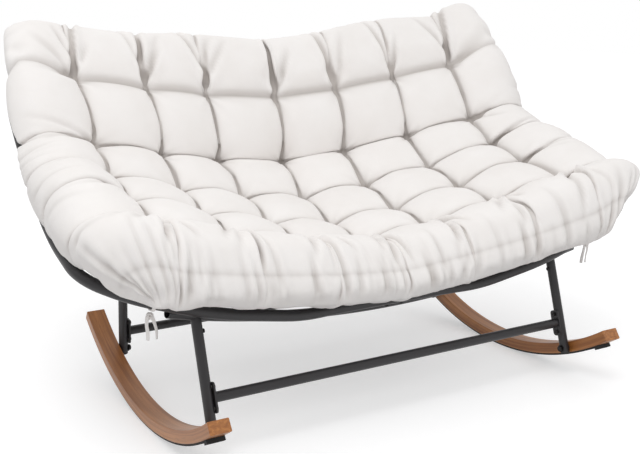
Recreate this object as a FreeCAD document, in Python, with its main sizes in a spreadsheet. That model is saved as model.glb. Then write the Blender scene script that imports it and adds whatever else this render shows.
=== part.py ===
"""Double papasan rocking chair.

A bent steel tube rim with ribs and two seat bars makes a shallow bowl for one tufted cushion.
Four tube legs carry the seat bars and are bolted to two bent wood rockers.
Millimetres, +Z up, +X to the sitter's left, front at -Y.
The origin is on the floor, midway between the points where the rockers touch it.
"""
import FreeCAD
import Part
import Sketcher
import math
import os

Vector = FreeCAD.Vector
X_AXIS = Vector(1, 0, 0)
Z_AXIS = Vector(0, 0, 1)

doc = FreeCAD.newDocument("double_papasan_rocker")
sheet = doc.addObject("Spreadsheet::Sheet", "Sizes")

# driving dimensions, in millimetres and degrees
SIZES = {
    # rockers, treads and stops
    "rocker_radius": 696,
    "rocker_depth": 27,
    "rocker_width": 45,
    "rocker_track": 1018,
    "rocker_half_angle": 34.5,
    "rocker_edge_round": 2.5,
    "tread_thickness": 4,
    "tread_width": 39,
    "tread_rear_angle": 33,
    "stop_length": 14,
    "stop_height": 9,
    "stop_width": 39,
    "stop_setback": 34,
    # legs, stretchers and their plates
    "leg_tube": 22,
    "leg_wall": 2.5,
    "foot_reach": 276,
    "foot_rise": 3,
    "cap_lip": 2.5,
    "cap_depth": 5,
    "stretcher_tube": 22,
    "stretcher_wall": 2,
    "front_stretcher_level": 136,
    "rear_stretcher_level": 120,
    "flange_length": 63,
    "flange_width": 26,
    "flange_thickness": 4,
    "flange_corner": 8,
    "flange_bolt_reach": 22,
    # seat bars, ribs and rim
    "bar_tube": 22,
    "bar_wall": 1.2,
    "front_bar_end": 538,
    "front_bar_lap_angle": 40,
    "front_bar_mid_y": -165,
    "front_bar_top_z": 247,
    "rear_bar_end_y": 232,
    "rear_bar_mid_y": 240,
    "rear_bar_top_z": 279,
    "rib_tube": 14,
    "rib_wall": 1.0,
    "rib_pitch": 200,
    "rib_seat_fall": 1,
    "rib_rise_angle": 31,
    "rib_back_lean": 6,
    "rim_tube": 25,
    "rim_wall": 1.2,
    "seat_half_width": 701,
    "drawn_half_width": 701,
    "sleeve_length": 80,
    "spigot_length": 45,
    # fasteners
    "leg_bolt": 8,
    "leg_bolt_head": 14,
    "leg_bolt_head_height": 5,
    "washer_thickness": 1.6,
    "washer_diameter": 18,
    "insert_diameter": 12,
    "insert_length": 22,
    "flange_bolt": 6,
    "flange_bolt_head": 10,
    "flange_bolt_head_height": 4,
    "flange_bolt_length": 14,
    "rivet_nut_body": 9,
    "rivet_nut_length": 11,
    "small_screw": 5,
    "small_screw_head": 9,
    "small_screw_head_height": 3,
    "small_screw_length": 11,
    # cushion
    "tuft_pitch": 183,
    "border_crest_share": 0.63,
    "puff_crown": 26,
    "puff_crease": 16,
    "underside_inset": 26,
    "outer_depth_share": 0.85,
    "fill_wall": 5,
    # ties
    "tie_cord": 7,
    "tie_loop_cord": 6,
    "knot_diameter": 14,
    "front_tie_reach": 570,
    "back_tie_reach": 560,
    # clearances
    "weld_gap": 0.3,
    "slip_gap": 0.3,
    "hole_gap": 0.3,
}

# corners of the rim's bends, from the joint in the middle of its front to the one at its back:
# distance in from the widest point on a seat of the drawn half width, then Y and Z
RIM_CORNERS = {
    "front_mid": (561, -211, 261),
    "front_flat": (461, -219, 261),
    "front_rise": (261, -235, 301),
    "front_turn": (94, -222, 355),
    "corner": (12, -148, 389),
    "side_low": (6, 37, 439),
    "side_mid": (0, 190, 590),
    "side_high": (3, 303, 692),
    "back_corner": (76, 385, 738),
    "back_turn": (271, 462, 738),
    "back_mid": (551, 467, 698),
}

# rows of the cushion, back to front: Y and Z of the row in the middle, the lean of its plane above
# the forward direction, how far the row rises to its outer tufts, the height of the border roll and
# of the border's underside there, the depth of the padding in the middle, the swell of the cover
# between two tufts of the row, and how far the row reaches past the rim's widest point
CUSHION_ROWS = {
    "back_edge": (488, 750, 75, 50, 70, 58, 14, 5, -29),
    "top": (450, 798, 62, 52, 92, 42, 56, 20, -11),
    "first": (372, 661, 56, 79, 148, 84, 112, 12, 11),
    "second": (336, 489, 39, 151, 226, 192, 92, 12, 15),
    "third": (217, 398, 50, 157, 250, 172, 98, 12, 15),
    "fourth": (72, 353, 58, 157, 255, 124, 124, 12, 15),
    "fifth": (-74, 338, 56, 150, 207, 94, 118, 12, 17),
    "front_roll": (-186, 342, 66, 112, 176, 74, 84, 26, -1),
    "front_edge": (-260, 296, 74, 84, 92, 74, 22, 5, -91),
}
HOLLOW_ROWS = ("top", "first", "second", "third", "fourth")
ROW_FIELDS = ("y", "z", "lean", "rise", "crest", "under", "depth", "crown", "overhang")


def fill_sheet():
    """Write every driving dimension to the sheet as a plain number with its name as alias."""
    values = dict(SIZES)
    for name, corner in RIM_CORNERS.items():
        for field, value in zip(("in", "y", "z"), corner):
            values[f"rim_{name}_{field}"] = value
    for name, row in CUSHION_ROWS.items():
        for field, value in zip(ROW_FIELDS, row):
            values[f"row_{name}_{field}"] = value
    for line, (alias, value) in enumerate(values.items(), start=1):
        sheet.set(f"A{line}", alias)
        sheet.set(f"B{line}", str(value))
        sheet.setAlias(f"B{line}", alias)
    doc.recompute()


def size(alias):
    """The number in the sheet under this name."""
    return float(sheet.get(alias))


fill_sheet()
sub_parts = []
# places across the seat are given for its drawn width, and follow when it is made wider or narrower
ACROSS = size("seat_half_width") / size("drawn_half_width")


def keep(obj, label):
    """Name an object as a finished sub-part."""
    obj.Label = label
    sub_parts.append(obj)
    return obj


def bind(obj, **expressions):
    """Bind properties of an object to cells of the sheet."""
    for name, expression in expressions.items():
        obj.setExpression(name, expression)
    return obj


def cell(alias):
    """How an expression names a cell of the sheet."""
    return f"Sizes.{alias}"


def turn_from_z(direction):
    """The rotation that takes the Z axis to a direction."""
    return FreeCAD.Rotation(Z_AXIS, direction)


def cylinder(name, radius, height, base, direction):
    """A bound cylinder from a base point along a direction; radius and height are expressions."""
    obj = doc.addObject("Part::Cylinder", name)
    bind(obj, Radius=radius, Height=height)
    obj.Placement = FreeCAD.Placement(base, turn_from_z(direction))
    return obj


def cut(name, base, tools):
    """Base minus every tool."""
    result = base
    for number, tool in enumerate(tools, start=1):
        step = doc.addObject("Part::Cut", f"{name}_cut_{number}")
        step.Base = result
        step.Tool = tool
        result = step
    return result


def mirrored(point):
    """The same point on the other side of the chair."""
    return Vector(-point.x, point.y, point.z)


def bent_path(corners, share=0.45):
    """A wire of straight runs joined by tangent arcs, each arc as large as its two runs allow."""
    edges = []
    start = corners[0]
    for before, corner, after in zip(corners, corners[1:], corners[2:]):
        come = (corner - before).normalize()
        leave = (after - corner).normalize()
        reach = share * min((corner - before).Length, (after - corner).Length)
        half_turn = come.getAngle(leave) / 2
        radius = reach / math.tan(half_turn)
        first = corner - come * reach
        last = corner + leave * reach
        inward = (leave - come).normalize()
        middle = corner + inward * (math.hypot(radius, reach) - radius)
        edges.append(Part.LineSegment(start, first).toShape())
        edges.append(Part.Arc(first, middle, last).toShape())
        start = last
    edges.append(Part.LineSegment(start, corners[-1]).toShape())
    return Part.Wire(edges)


def path_object(name, wire):
    """A wire as an object that sweeps can follow."""
    obj = doc.addObject("Part::Feature", name)
    obj.Shape = wire
    return obj


def swept(name, path, radius):
    """A round bar along a path; radius is an expression."""
    ring = doc.addObject("Part::Circle", f"{name}_ring")
    bind(ring, Radius=radius)
    first = path.Shape.Edges[0]
    start = first.valueAt(first.FirstParameter)
    along = first.tangentAt(first.FirstParameter)
    ring.Placement = FreeCAD.Placement(start, turn_from_z(along))
    bar = doc.addObject("Part::Sweep", name)
    bar.Sections = [ring]
    bar.Spine = (path, [f"Edge{i}" for i in range(1, len(path.Shape.Edges) + 1)])
    bar.Solid = True
    bar.Frenet = False
    return bar


def bent_tube(name, path, tube, wall):
    """A hollow tube along a path, open at both ends; tube and wall name cells."""
    outer = swept(f"{name}_outside", path, f"{cell(tube)} / 2")
    inner = swept(f"{name}_bore", path, f"{cell(tube)} / 2 - {cell(wall)}")
    return cut(name, outer, [inner])


def clearance_bar(name, path, tube, gap):
    """A solid bar a little larger than a tube, to cut its neighbours back from it."""
    return swept(name, path, f"{cell(tube)} / 2 + {cell(gap)}")


def nearest_on(wire, wanted, points=1500):
    """The point of a wire for which wanted(point) is closest to zero, and the direction there."""
    samples = wire.discretize(Number=points)
    best = min(range(len(samples)), key=lambda i: abs(wanted(samples[i])))
    low = max(best - 1, 0)
    high = min(best + 1, len(samples) - 1)
    span = wanted(samples[high]) - wanted(samples[low])
    portion = -wanted(samples[low]) / span if abs(span) > 1e-9 else 0.5
    point = samples[low] + (samples[high] - samples[low]) * portion
    return point, (samples[high] - samples[low]).normalize()


def group(label, shapes):
    """Several separate solids as one sub-part."""
    obj = doc.addObject("Part::Feature", label)
    obj.Shape = Part.makeCompound(shapes)
    return keep(obj, label)


def placed(shape, base, direction):
    """A copy of a shape made along Z, moved to a base point and turned to a direction."""
    copy = shape.copy()
    copy.Placement = FreeCAD.Placement(base, turn_from_z(direction))
    return copy


SIDES = {"left": -1, "right": 1}

# rim


def rim_corner(name):
    """One corner of the right half of the rim."""
    inset, y, z = (size(f"rim_{name}_{field}") for field in ("in", "y", "z"))
    return Vector((size("drawn_half_width") - inset) * ACROSS, y, z)


front_joint = Vector(0, size("rim_front_mid_y"), size("rim_front_mid_z"))
back_joint = Vector(0, size("rim_back_mid_y"), size("rim_back_mid_z"))
right_corners = [front_joint, *[rim_corner(name) for name in RIM_CORNERS], back_joint]
rim_paths = {
    "right": path_object("rim_path_right", bent_path(right_corners)),
    "left": path_object("rim_path_left", bent_path([mirrored(p) for p in right_corners])),
}
rim_wire = rim_paths["right"].Shape
rim_clearance = {}
for side, path in rim_paths.items():
    rim_clearance[side] = clearance_bar(f"rim_clearance_{side}", path, "rim_tube", "weld_gap")
BACK_HALF_Y = size("rim_side_mid_y")


def rim_front_at(x):
    """A point of the rim's front and the rim's direction there, at a distance from the middle."""
    point, along = nearest_on(
        rim_wire, lambda p: abs(x) - p.x if p.y < BACK_HALF_Y else size("seat_half_width")
    )
    return (point, along) if x > 0 else (mirrored(point), mirrored(along))


def rim_back_at(x):
    """A point of the rim's back and the rim's direction there, at a distance from the middle."""
    point, along = nearest_on(
        rim_wire, lambda p: abs(x) - p.x if p.y > BACK_HALF_Y else size("seat_half_width")
    )
    return (point, along) if x > 0 else (mirrored(point), mirrored(along))


# seat bars, each an arc from the rim on one side to the rim on the other: the front one is lapped
# under the rim, and the rear one is coped to it
lap_angle = math.radians(size("front_bar_lap_angle"))
lap_reach = (size("rim_tube") + size("bar_tube")) / 2 + size("weld_gap")
front_end, _ = rim_front_at(size("front_bar_end") * ACROSS)
front_end += Vector(0, math.sin(lap_angle), -math.cos(lap_angle)) * lap_reach
rear_end, _ = nearest_on(rim_wire, lambda p: p.y - size("rear_bar_end_y"))
BAR_ENDS = {"front": front_end, "rear": rear_end}
bar_paths = {}
bar_clearance = {}
for place, end in BAR_ENDS.items():
    middle_z = size(f"{place}_bar_top_z") - size("bar_tube") / 2
    middle = Vector(0, size(f"{place}_bar_mid_y"), middle_z)
    arc = Part.Arc(mirrored(end), middle, end).toShape()
    bar_paths[place] = path_object(f"seat_bar_{place}_path", Part.Wire([arc]))
    bar_clearance[place] = clearance_bar(
        f"seat_bar_{place}_clearance", bar_paths[place], "bar_tube", "weld_gap"
    )
    bar = bent_tube(f"seat_bar_{place}_tube", bar_paths[place], "bar_tube", "bar_wall")
    keep(cut(f"seat_bar_{place}", bar, rim_clearance.values()), f"seat_bar_{place}")


def bar_at(place, x):
    """A point of a seat bar and the bar's direction there."""
    return nearest_on(bar_paths[place].Shape, lambda p: p.x - x)


# ribs, from the front bar over the rear bar to the back of the rim
RIB_COUNT = 6
rib_paths = []
rib_clearance = []


def over_bar(place, x, along):
    """The point where a rib lies on a seat bar, when it crosses the bar in this direction."""
    point, bar_along = bar_at(place, x)
    upward = Vector(0, -along.z, along.y)
    between = bar_along.cross(along).normalize()
    apart = (size("bar_tube") + size("rib_tube")) / 2 + size("weld_gap")
    return point + upward * (apart / abs(upward.dot(between)))


def meet(point_a, along_a, point_b, along_b):
    """Where two lines in one plane of constant X cross."""
    across = along_a.y * along_b.z - along_a.z * along_b.y
    step = point_b - point_a
    return point_a + along_a * ((step.y * along_b.z - step.z * along_b.y) / across)


def rib_path(x):
    """The path of one rib: under the seat, up the slope and up the back."""
    front, _ = bar_at("front", x)
    back, _ = rim_back_at(x)
    fall = math.radians(size("rib_seat_fall"))
    along = Vector(0, math.cos(fall), -math.sin(fall))
    rise = math.radians(size("rib_rise_angle"))
    slope = Vector(0, math.cos(rise), math.sin(rise))
    on_rear_bar = over_bar("rear", x, slope)
    lean = math.radians(size("rib_back_lean"))
    up_back = Vector(0, math.sin(lean), math.cos(lean))
    low_corner = meet(front, along, on_rear_bar, slope)
    high_corner = meet(on_rear_bar, slope, back, up_back)
    return bent_path([front, low_corner, high_corner, back])


for number in range(RIB_COUNT):
    rib_x = (number - (RIB_COUNT - 1) / 2) * size("rib_pitch") * ACROSS
    path = path_object(f"rib_path_{number + 1}", rib_path(rib_x))
    rib_paths.append(path)
    rib = bent_tube(f"rib_tube_{number + 1}", path, "rib_tube", "rib_wall")
    near_rim = rim_clearance["right" if rib_x > 0 else "left"]
    rib = cut(f"rib_{number + 1}", rib, [bar_clearance["front"], near_rim])
    keep(rib, f"seat_rib_{number + 1}")
    rib_clearance.append(clearance_bar(f"rib_clearance_{number + 1}", path, "rib_tube", "weld_gap"))

# rockers and what is under them
rocker_centre = Vector(0, 0, size("rocker_radius") + size("tread_thickness") + size("weld_gap"))
rocker_mid_x = size("rocker_track") / 2


def arc_strip(name, inner, outer, front, rear, width):
    """A body: a strip between two arcs about the rocker's centre, padded to both sides.

    The four numbers are the radii and the angles from straight down to its front and rear ends;
    inner, outer and width are expressions as well as sizes, given as pairs (expression, size).
    """
    body = doc.addObject("PartDesign::Body", name)
    sketch = body.newObject("Sketcher::SketchObject", f"{name}_outline")
    plane = [f for f in body.Origin.OriginFeatures if f.Role == "YZ_Plane"][0]
    sketch.AttachmentSupport = (plane, [""])
    sketch.MapMode = "FlatFace"
    down = -math.pi / 2
    angles = (down - math.radians(front), down + math.radians(rear))
    origin = Vector(0, 0, 0)
    arcs = []
    for expression, radius in (inner, outer):
        circle = Part.Circle(origin, Z_AXIS, radius)
        arcs.append(sketch.addGeometry(Part.ArcOfCircle(circle, *angles), False))
    ends = []
    for angle in angles:
        outward = Vector(math.cos(angle), math.sin(angle), 0)
        segment = Part.LineSegment(outward * inner[1], outward * outer[1])
        ends.append(sketch.addGeometry(segment, False))
    for arc in arcs:
        sketch.addConstraint(Sketcher.Constraint("Coincident", arc, 3, -1, 1))
    for end_number, arc_vertex in ((0, 1), (1, 2)):
        for line_vertex, arc in ((1, arcs[0]), (2, arcs[1])):
            sketch.addConstraint(
                Sketcher.Constraint("Coincident", ends[end_number], line_vertex, arc, arc_vertex)
            )
        sketch.addConstraint(Sketcher.Constraint("PointOnObject", -1, 1, ends[end_number]))
    for arc, (expression, radius), title in zip(arcs, (inner, outer), ("inner", "outer")):
        number = sketch.addConstraint(Sketcher.Constraint("Radius", arc, radius))
        sketch.renameConstraint(number, title)
        sketch.setExpression(f"Constraints.{title}", expression)
    doc.recompute()
    pad = body.newObject("PartDesign::Pad", f"{name}_pad")
    pad.Profile = sketch
    pad.Midplane = True
    bind(pad, Length=width)
    doc.recompute()
    return body, pad


def round_long_edges(body, pad, radius):
    """Round the long curved edges of a strip."""
    names = []
    for number, edge in enumerate(pad.Shape.Edges, start=1):
        if edge.Curve.TypeId == "Part::GeomCircle":
            names.append(f"Edge{number}")
    fillet = body.newObject("PartDesign::Fillet", f"{body.Name}_round")
    fillet.Base = (pad, names)
    bind(fillet, Radius=radius)
    body.Tip = fillet


def on_rocker(angle_radius, sideways):
    """The point of the rocker's plane at an angle from straight down and a radius."""
    angle, radius = angle_radius
    return rocker_centre + Vector(sideways, radius * math.sin(angle), -radius * math.cos(angle))


wood = size("rocker_radius")
half_angle = size("rocker_half_angle")
tread_inner = wood + size("weld_gap")
stop_front = half_angle - math.degrees(size("stop_setback") / wood)
stop_rear = stop_front - math.degrees(size("stop_length") / wood)
leg_x = rocker_mid_x - size("rocker_width") / 2 - size("leg_tube") / 2 - size("weld_gap")
foot_angle = math.asin(size("foot_reach") / wood)
bolt_radius = wood - size("rocker_depth") / 2

# legs: each runs from its foot on the rocker to its seat bar
FEET = {"front": -1, "rear": 1}
legs = {}
for place, fore in FEET.items():
    for side, hand in SIDES.items():
        foot = on_rocker((fore * foot_angle, wood - size("foot_rise")), hand * leg_x)
        top, _ = bar_at(place, hand * leg_x)
        legs[place, side] = (foot, top, (top - foot).normalize())


def at_level(leg, level):
    """The point of a leg's axis at a height."""
    foot, _, along = leg
    return foot + along * ((level - foot.z) / along.z)


def leg_bolt_point(leg):
    """Where a leg's axis crosses the middle of the rocker's depth."""
    foot, _, along = leg
    step = 0.0
    while (foot + along * step - Vector(foot.x, 0, rocker_centre.z)).Length > bolt_radius:
        step += 0.05
    return foot + along * step


# a stretcher stays where its plates are clear of the washers of the bolts below them
plate_clearance = (size("flange_length") + size("washer_diameter")) / 2 + 1
STRETCHER_LEVEL = {}
for place in FEET:
    lowest = leg_bolt_point(legs[place, "left"]).z + plate_clearance
    STRETCHER_LEVEL[place] = max(size(f"{place}_stretcher_level"), lowest)
leg_inner_face = leg_x - size("leg_tube") / 2 - size("weld_gap")


def flange_bolt_points(leg, place):
    """The two places on a leg's axis where a stretcher plate is bolted to it."""
    middle = at_level(leg, STRETCHER_LEVEL[place])
    reach = leg[2] * size("flange_bolt_reach")
    return middle + reach, middle - reach


for (place, side), leg in legs.items():
    foot, top, along = leg
    hand = SIDES[side]
    name = f"leg_{place}_{side}"
    outer = doc.addObject("Part::Cylinder", f"{name}_outside")
    bind(outer, Radius=f"{cell('leg_tube')} / 2")
    outer.Height = (top - foot).Length
    outer.Placement = FreeCAD.Placement(foot, turn_from_z(along))
    bore = doc.addObject("Part::Cylinder", f"{name}_bore")
    bind(bore, Radius=f"{cell('leg_tube')} / 2 - {cell('leg_wall')}")
    bore.Height = (top - foot).Length
    bore.Placement = outer.Placement
    tools = [bore, bar_clearance[place]]
    inward = Vector(-hand, 0, 0)
    hole_start = leg_bolt_point(leg) - inward * size("leg_tube")
    tools.append(
        cylinder(
            f"{name}_bolt_hole",
            f"{cell('leg_bolt')} / 2 + {cell('hole_gap')}",
            f"2 * {cell('leg_tube')}",
            hole_start,
            inward,
        )
    )
    for number, point in enumerate(flange_bolt_points(leg, place), start=1):
        tools.append(
            cylinder(
                f"{name}_nut_hole_{number}",
                f"{cell('rivet_nut_body')} / 2 + {cell('hole_gap')}",
                cell("leg_tube"),
                point,
                inward,
            )
        )
    screw_point = top - along * (size("bar_tube") / 2 + size("spigot_length") / 2)
    tools.append(
        cylinder(
            f"{name}_screw_hole",
            f"{cell('small_screw')} / 2 + {cell('hole_gap')}",
            cell("leg_tube"),
            screw_point,
            inward,
        )
    )
    keep(cut(name, outer, tools), name)

# rockers with their blind holes for the threaded inserts, treads and stops
for side, hand in SIDES.items():
    shift = FreeCAD.Placement(rocker_centre + Vector(hand * rocker_mid_x, 0, 0), FreeCAD.Rotation())
    body, pad = arc_strip(
        f"rocker_{side}_wood",
        (f"{cell('rocker_radius')} - {cell('rocker_depth')}", wood - size("rocker_depth")),
        (cell("rocker_radius"), wood),
        half_angle,
        half_angle,
        cell("rocker_width"),
    )
    round_long_edges(body, pad, cell("rocker_edge_round"))
    body.Placement = shift
    holes = []
    for place in FEET:
        start = leg_bolt_point(legs[place, side])
        start.x = hand * (rocker_mid_x - size("rocker_width") / 2 - 1)
        holes.append(
            cylinder(
                f"rocker_{side}_{place}_hole",
                f"{cell('insert_diameter')} / 2 + {cell('hole_gap')}",
                f"{cell('insert_length')} + {cell('insert_length')} / 2",
                start,
                Vector(hand, 0, 0),
            )
        )
    keep(cut(f"rocker_{side}", body, holes), f"rocker_{side}")
    body, pad = arc_strip(
        f"tread_{side}",
        (f"{cell('rocker_radius')} + {cell('weld_gap')}", tread_inner),
        (
            f"{cell('rocker_radius')} + {cell('weld_gap')} + {cell('tread_thickness')}",
            tread_inner + size("tread_thickness"),
        ),
        stop_rear - math.degrees(1 / wood),
        size("tread_rear_angle"),
        cell("tread_width"),
    )
    body.Placement = shift
    keep(body, f"tread_{side}")
    body, pad = arc_strip(
        f"stop_{side}",
        (f"{cell('rocker_radius')} + {cell('weld_gap')}", tread_inner),
        (
            f"{cell('rocker_radius')} + {cell('weld_gap')} + {cell('stop_height')}",
            tread_inner + size("stop_height"),
        ),
        stop_front,
        -stop_rear,
        cell("stop_width"),
    )
    body.Placement = shift
    keep(body, f"stop_{side}")


def flange_plate(name, middle, along, outward):
    """A rounded plate with two bolt holes; its face is square to X and its length lies along a leg."""
    body = doc.addObject("PartDesign::Body", name)
    sketch = body.newObject("Sketcher::SketchObject", f"{name}_outline")
    plane = [f for f in body.Origin.OriginFeatures if f.Role == "XY_Plane"][0]
    sketch.AttachmentSupport = (plane, [""])
    sketch.MapMode = "FlatFace"
    half_width = size("flange_width") / 2
    half_length = size("flange_length") / 2
    corners = [
        Vector(-half_width, -half_length, 0),
        Vector(half_width, -half_length, 0),
        Vector(half_width, half_length, 0),
        Vector(-half_width, half_length, 0),
    ]
    lines = []
    for start, end in zip(corners, corners[1:] + corners[:1]):
        lines.append(sketch.addGeometry(Part.LineSegment(start, end), False))
    for line, following in zip(lines, lines[1:] + lines[:1]):
        sketch.addConstraint(Sketcher.Constraint("Coincident", line, 2, following, 1))
    for line in (lines[0], lines[2]):
        sketch.addConstraint(Sketcher.Constraint("Horizontal", line))
    for line in (lines[1], lines[3]):
        sketch.addConstraint(Sketcher.Constraint("Vertical", line))
    sketch.addConstraint(Sketcher.Constraint("Symmetric", lines[0], 1, lines[2], 1, -1, 1))
    measures = (
        ("width", "DistanceX", lines[0], 2 * half_width, cell("flange_width")),
        ("length", "DistanceY", lines[1], 2 * half_length, cell("flange_length")),
    )
    for title, kind, line, value, expression in measures:
        number = sketch.addConstraint(Sketcher.Constraint(kind, line, 1, line, 2, value))
        sketch.renameConstraint(number, title)
        sketch.setExpression(f"Constraints.{title}", expression)
    for title, reach in (("upper", 1), ("lower", -1)):
        circle = Part.Circle(Vector(0, reach * size("flange_bolt_reach"), 0), Z_AXIS, 1)
        hole = sketch.addGeometry(circle, False)
        sketch.addConstraint(Sketcher.Constraint("PointOnObject", hole, 3, -2))
        pair = (-1, 1, hole, 3) if reach > 0 else (hole, 3, -1, 1)
        number = sketch.addConstraint(
            Sketcher.Constraint("DistanceY", *pair, size("flange_bolt_reach"))
        )
        sketch.renameConstraint(number, f"{title}_reach")
        sketch.setExpression(f"Constraints.{title}_reach", cell("flange_bolt_reach"))
        number = sketch.addConstraint(
            Sketcher.Constraint("Radius", hole, size("flange_bolt") / 2 + size("hole_gap"))
        )
        sketch.renameConstraint(number, f"{title}_hole")
        sketch.setExpression(
            f"Constraints.{title}_hole", f"{cell('flange_bolt')} / 2 + {cell('hole_gap')}"
        )
    doc.recompute()
    pad = body.newObject("PartDesign::Pad", f"{name}_pad")
    pad.Profile = sketch
    bind(pad, Length=cell("flange_thickness"))
    doc.recompute()
    names = []
    for number, edge in enumerate(pad.Shape.Edges, start=1):
        ends = [vertex.Point for vertex in edge.Vertexes]
        if len(ends) == 2 and abs(ends[0].z - ends[1].z) > size("flange_thickness") / 2:
            names.append(f"Edge{number}")
    fillet = body.newObject("PartDesign::Fillet", f"{name}_round")
    fillet.Base = (pad, names)
    bind(fillet, Radius=cell("flange_corner"))
    body.Tip = fillet
    across = along.cross(outward)
    turn = FreeCAD.Rotation(across, along, outward, "ZXY")
    body.Placement = FreeCAD.Placement(middle, turn)
    return body


# stretchers, welded between plates that are bolted to the legs' inner sides
for place in FEET:
    for side, hand in SIDES.items():
        leg = legs[place, side]
        middle = at_level(leg, STRETCHER_LEVEL[place])
        middle.x = hand * (leg_inner_face - size("flange_thickness"))
        name = f"stretcher_flange_{place}_{side}"
        keep(flange_plate(name, middle, leg[2], Vector(hand, 0, 0)), name)
    start = at_level(legs[place, "left"], STRETCHER_LEVEL[place])
    start.x = -(leg_inner_face - size("flange_thickness"))
    length = -2 * start.x
    outer = doc.addObject("Part::Cylinder", f"stretcher_{place}_outside")
    bind(outer, Radius=f"{cell('stretcher_tube')} / 2")
    outer.Height = length
    outer.Placement = FreeCAD.Placement(start, turn_from_z(X_AXIS))
    bore = doc.addObject("Part::Cylinder", f"stretcher_{place}_bore")
    bind(bore, Radius=f"{cell('stretcher_tube')} / 2 - {cell('stretcher_wall')}")
    bore.Height = length
    bore.Placement = outer.Placement
    keep(cut(f"stretcher_{place}", outer, [bore]), f"stretcher_{place}")

# rim halves with holes for the joint screws, and the sleeves inside their joints


# each joint with the direction of its screws: from below at the front, from behind at the back
RIM_JOINTS = ((front_joint, Z_AXIS), (back_joint, Vector(0, -1, 0)))


def joint_screw_points():
    """The side, place and direction of each joint screw, on the rim's axis."""
    for joint, inward in RIM_JOINTS:
        for hand in SIDES.values():
            yield hand, joint + X_AXIS * (hand * size("sleeve_length") / 4), inward


for side, path in rim_paths.items():
    tube = bent_tube(f"rim_{side}_tube", path, "rim_tube", "rim_wall")
    holes = []
    for hand, point, inward in joint_screw_points():
        if hand == SIDES[side]:
            holes.append(
                cylinder(
                    f"rim_{side}_screw_hole_{len(holes) + 1}",
                    f"{cell('small_screw')} / 2 + {cell('hole_gap')}",
                    cell("rim_tube"),
                    point - inward * size("rim_tube"),
                    inward,
                )
            )
    keep(cut(f"rim_{side}", tube, holes), f"rim_{side}")

sleeve_radius = size("rim_tube") / 2 - size("rim_wall") - size("slip_gap")
pilot_radius = size("small_screw") / 2 + size("hole_gap")
sleeves = []
for joint, _ in RIM_JOINTS:
    start = joint - X_AXIS * (size("sleeve_length") / 2)
    sleeve = Part.makeCylinder(sleeve_radius, size("sleeve_length"), start, X_AXIS)
    for _, point, inward in joint_screw_points():
        pilot_start = point - inward * size("rim_tube")
        sleeve = sleeve.cut(Part.makeCylinder(pilot_radius, size("rim_tube"), pilot_start, inward))
    sleeves.append(sleeve)
group("rim_sleeves", sleeves)


def headed(head_diameter, head_height, shank_diameter, shank_length):
    """A fastener along Z: its head below the origin, its shank above."""
    head = Part.makeCylinder(head_diameter / 2, head_height, Vector(0, 0, -head_height))
    head = head.makeChamfer(head_height / 5, [head.Edges[2]])
    shank = Part.makeCylinder(shank_diameter / 2, shank_length)
    return head.fuse(shank)


small_screw = headed(
    size("small_screw_head"),
    size("small_screw_head_height"),
    size("small_screw"),
    size("small_screw_length"),
)
screws = []
for _, point, inward in joint_screw_points():
    seat = point - inward * (size("rim_tube") / 2 + size("weld_gap"))
    screws.append(placed(small_screw, seat, inward))
group("rim_joint_screws", screws)

# spigots inside the legs' tops, their screws, and the caps in the legs' feet
doc.recompute()
spigot_radius = size("leg_tube") / 2 - size("leg_wall") - size("slip_gap")
cap_radius = spigot_radius
cap_plug = Part.makeCylinder(cap_radius, size("cap_depth"))
cap_lip = Part.makeCylinder(
    size("leg_tube") / 2, size("cap_lip"), Vector(0, 0, -size("cap_lip"))
)
cap_lip = cap_lip.makeChamfer(size("cap_lip") / 3, [cap_lip.Edges[2]])
cap = cap_lip.fuse(cap_plug)
spigots = []
spigot_screws = []
caps = []
for (place, side), (foot, top, along) in legs.items():
    inward = Vector(-SIDES[side], 0, 0)
    spigot_start = top - along * (size("bar_tube") / 2 + size("spigot_length"))
    spigot = Part.makeCylinder(
        spigot_radius, size("bar_tube") / 2 + size("spigot_length"), spigot_start, along
    )
    spigot = spigot.cut(bar_clearance[place].Shape)
    screw_point = top - along * (size("bar_tube") / 2 + size("spigot_length") / 2)
    pilot = Part.makeCylinder(pilot_radius, size("leg_tube"), screw_point, inward)
    spigots.append(spigot.cut(pilot))
    seat = screw_point + inward * (size("leg_tube") / 2 + size("weld_gap"))
    spigot_screws.append(placed(small_screw, seat, inward * -1))
    caps.append(placed(cap, foot, along))
group("leg_spigots", spigots)
group("leg_spigot_screws", spigot_screws)
group("leg_caps", caps)

# bolts that hold the legs to the rockers, with washers and threaded inserts
bolt_length = size("leg_tube") + 2 * size("weld_gap") + size("insert_length")
washer_top = size("washer_thickness")
leg_bolt = headed(
    size("leg_bolt_head"), size("leg_bolt_head_height"), size("leg_bolt"), bolt_length + washer_top
)
washer = Part.makeCylinder(size("washer_diameter") / 2, washer_top)
washer = washer.cut(Part.makeCylinder(size("leg_bolt") / 2 + size("hole_gap"), washer_top))
insert = Part.makeCylinder(size("insert_diameter") / 2, size("insert_length"))
insert = insert.cut(
    Part.makeCylinder(size("leg_bolt") / 2 + size("hole_gap"), size("insert_length"))
)
bolts = []
washers = []
inserts = []
for (place, side), leg in legs.items():
    outward = Vector(SIDES[side], 0, 0)
    seat = leg_bolt_point(leg) - outward * (size("leg_tube") / 2 + size("weld_gap"))
    washers.append(placed(washer, seat - outward * washer_top, outward))
    bolts.append(placed(leg_bolt, seat - outward * washer_top, outward))
    hole = leg_bolt_point(leg) + outward * (size("leg_tube") / 2 + size("weld_gap"))
    inserts.append(placed(insert, hole, outward))
group("leg_bolts", bolts)
group("leg_washers", washers)
group("wood_inserts", inserts)

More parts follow.
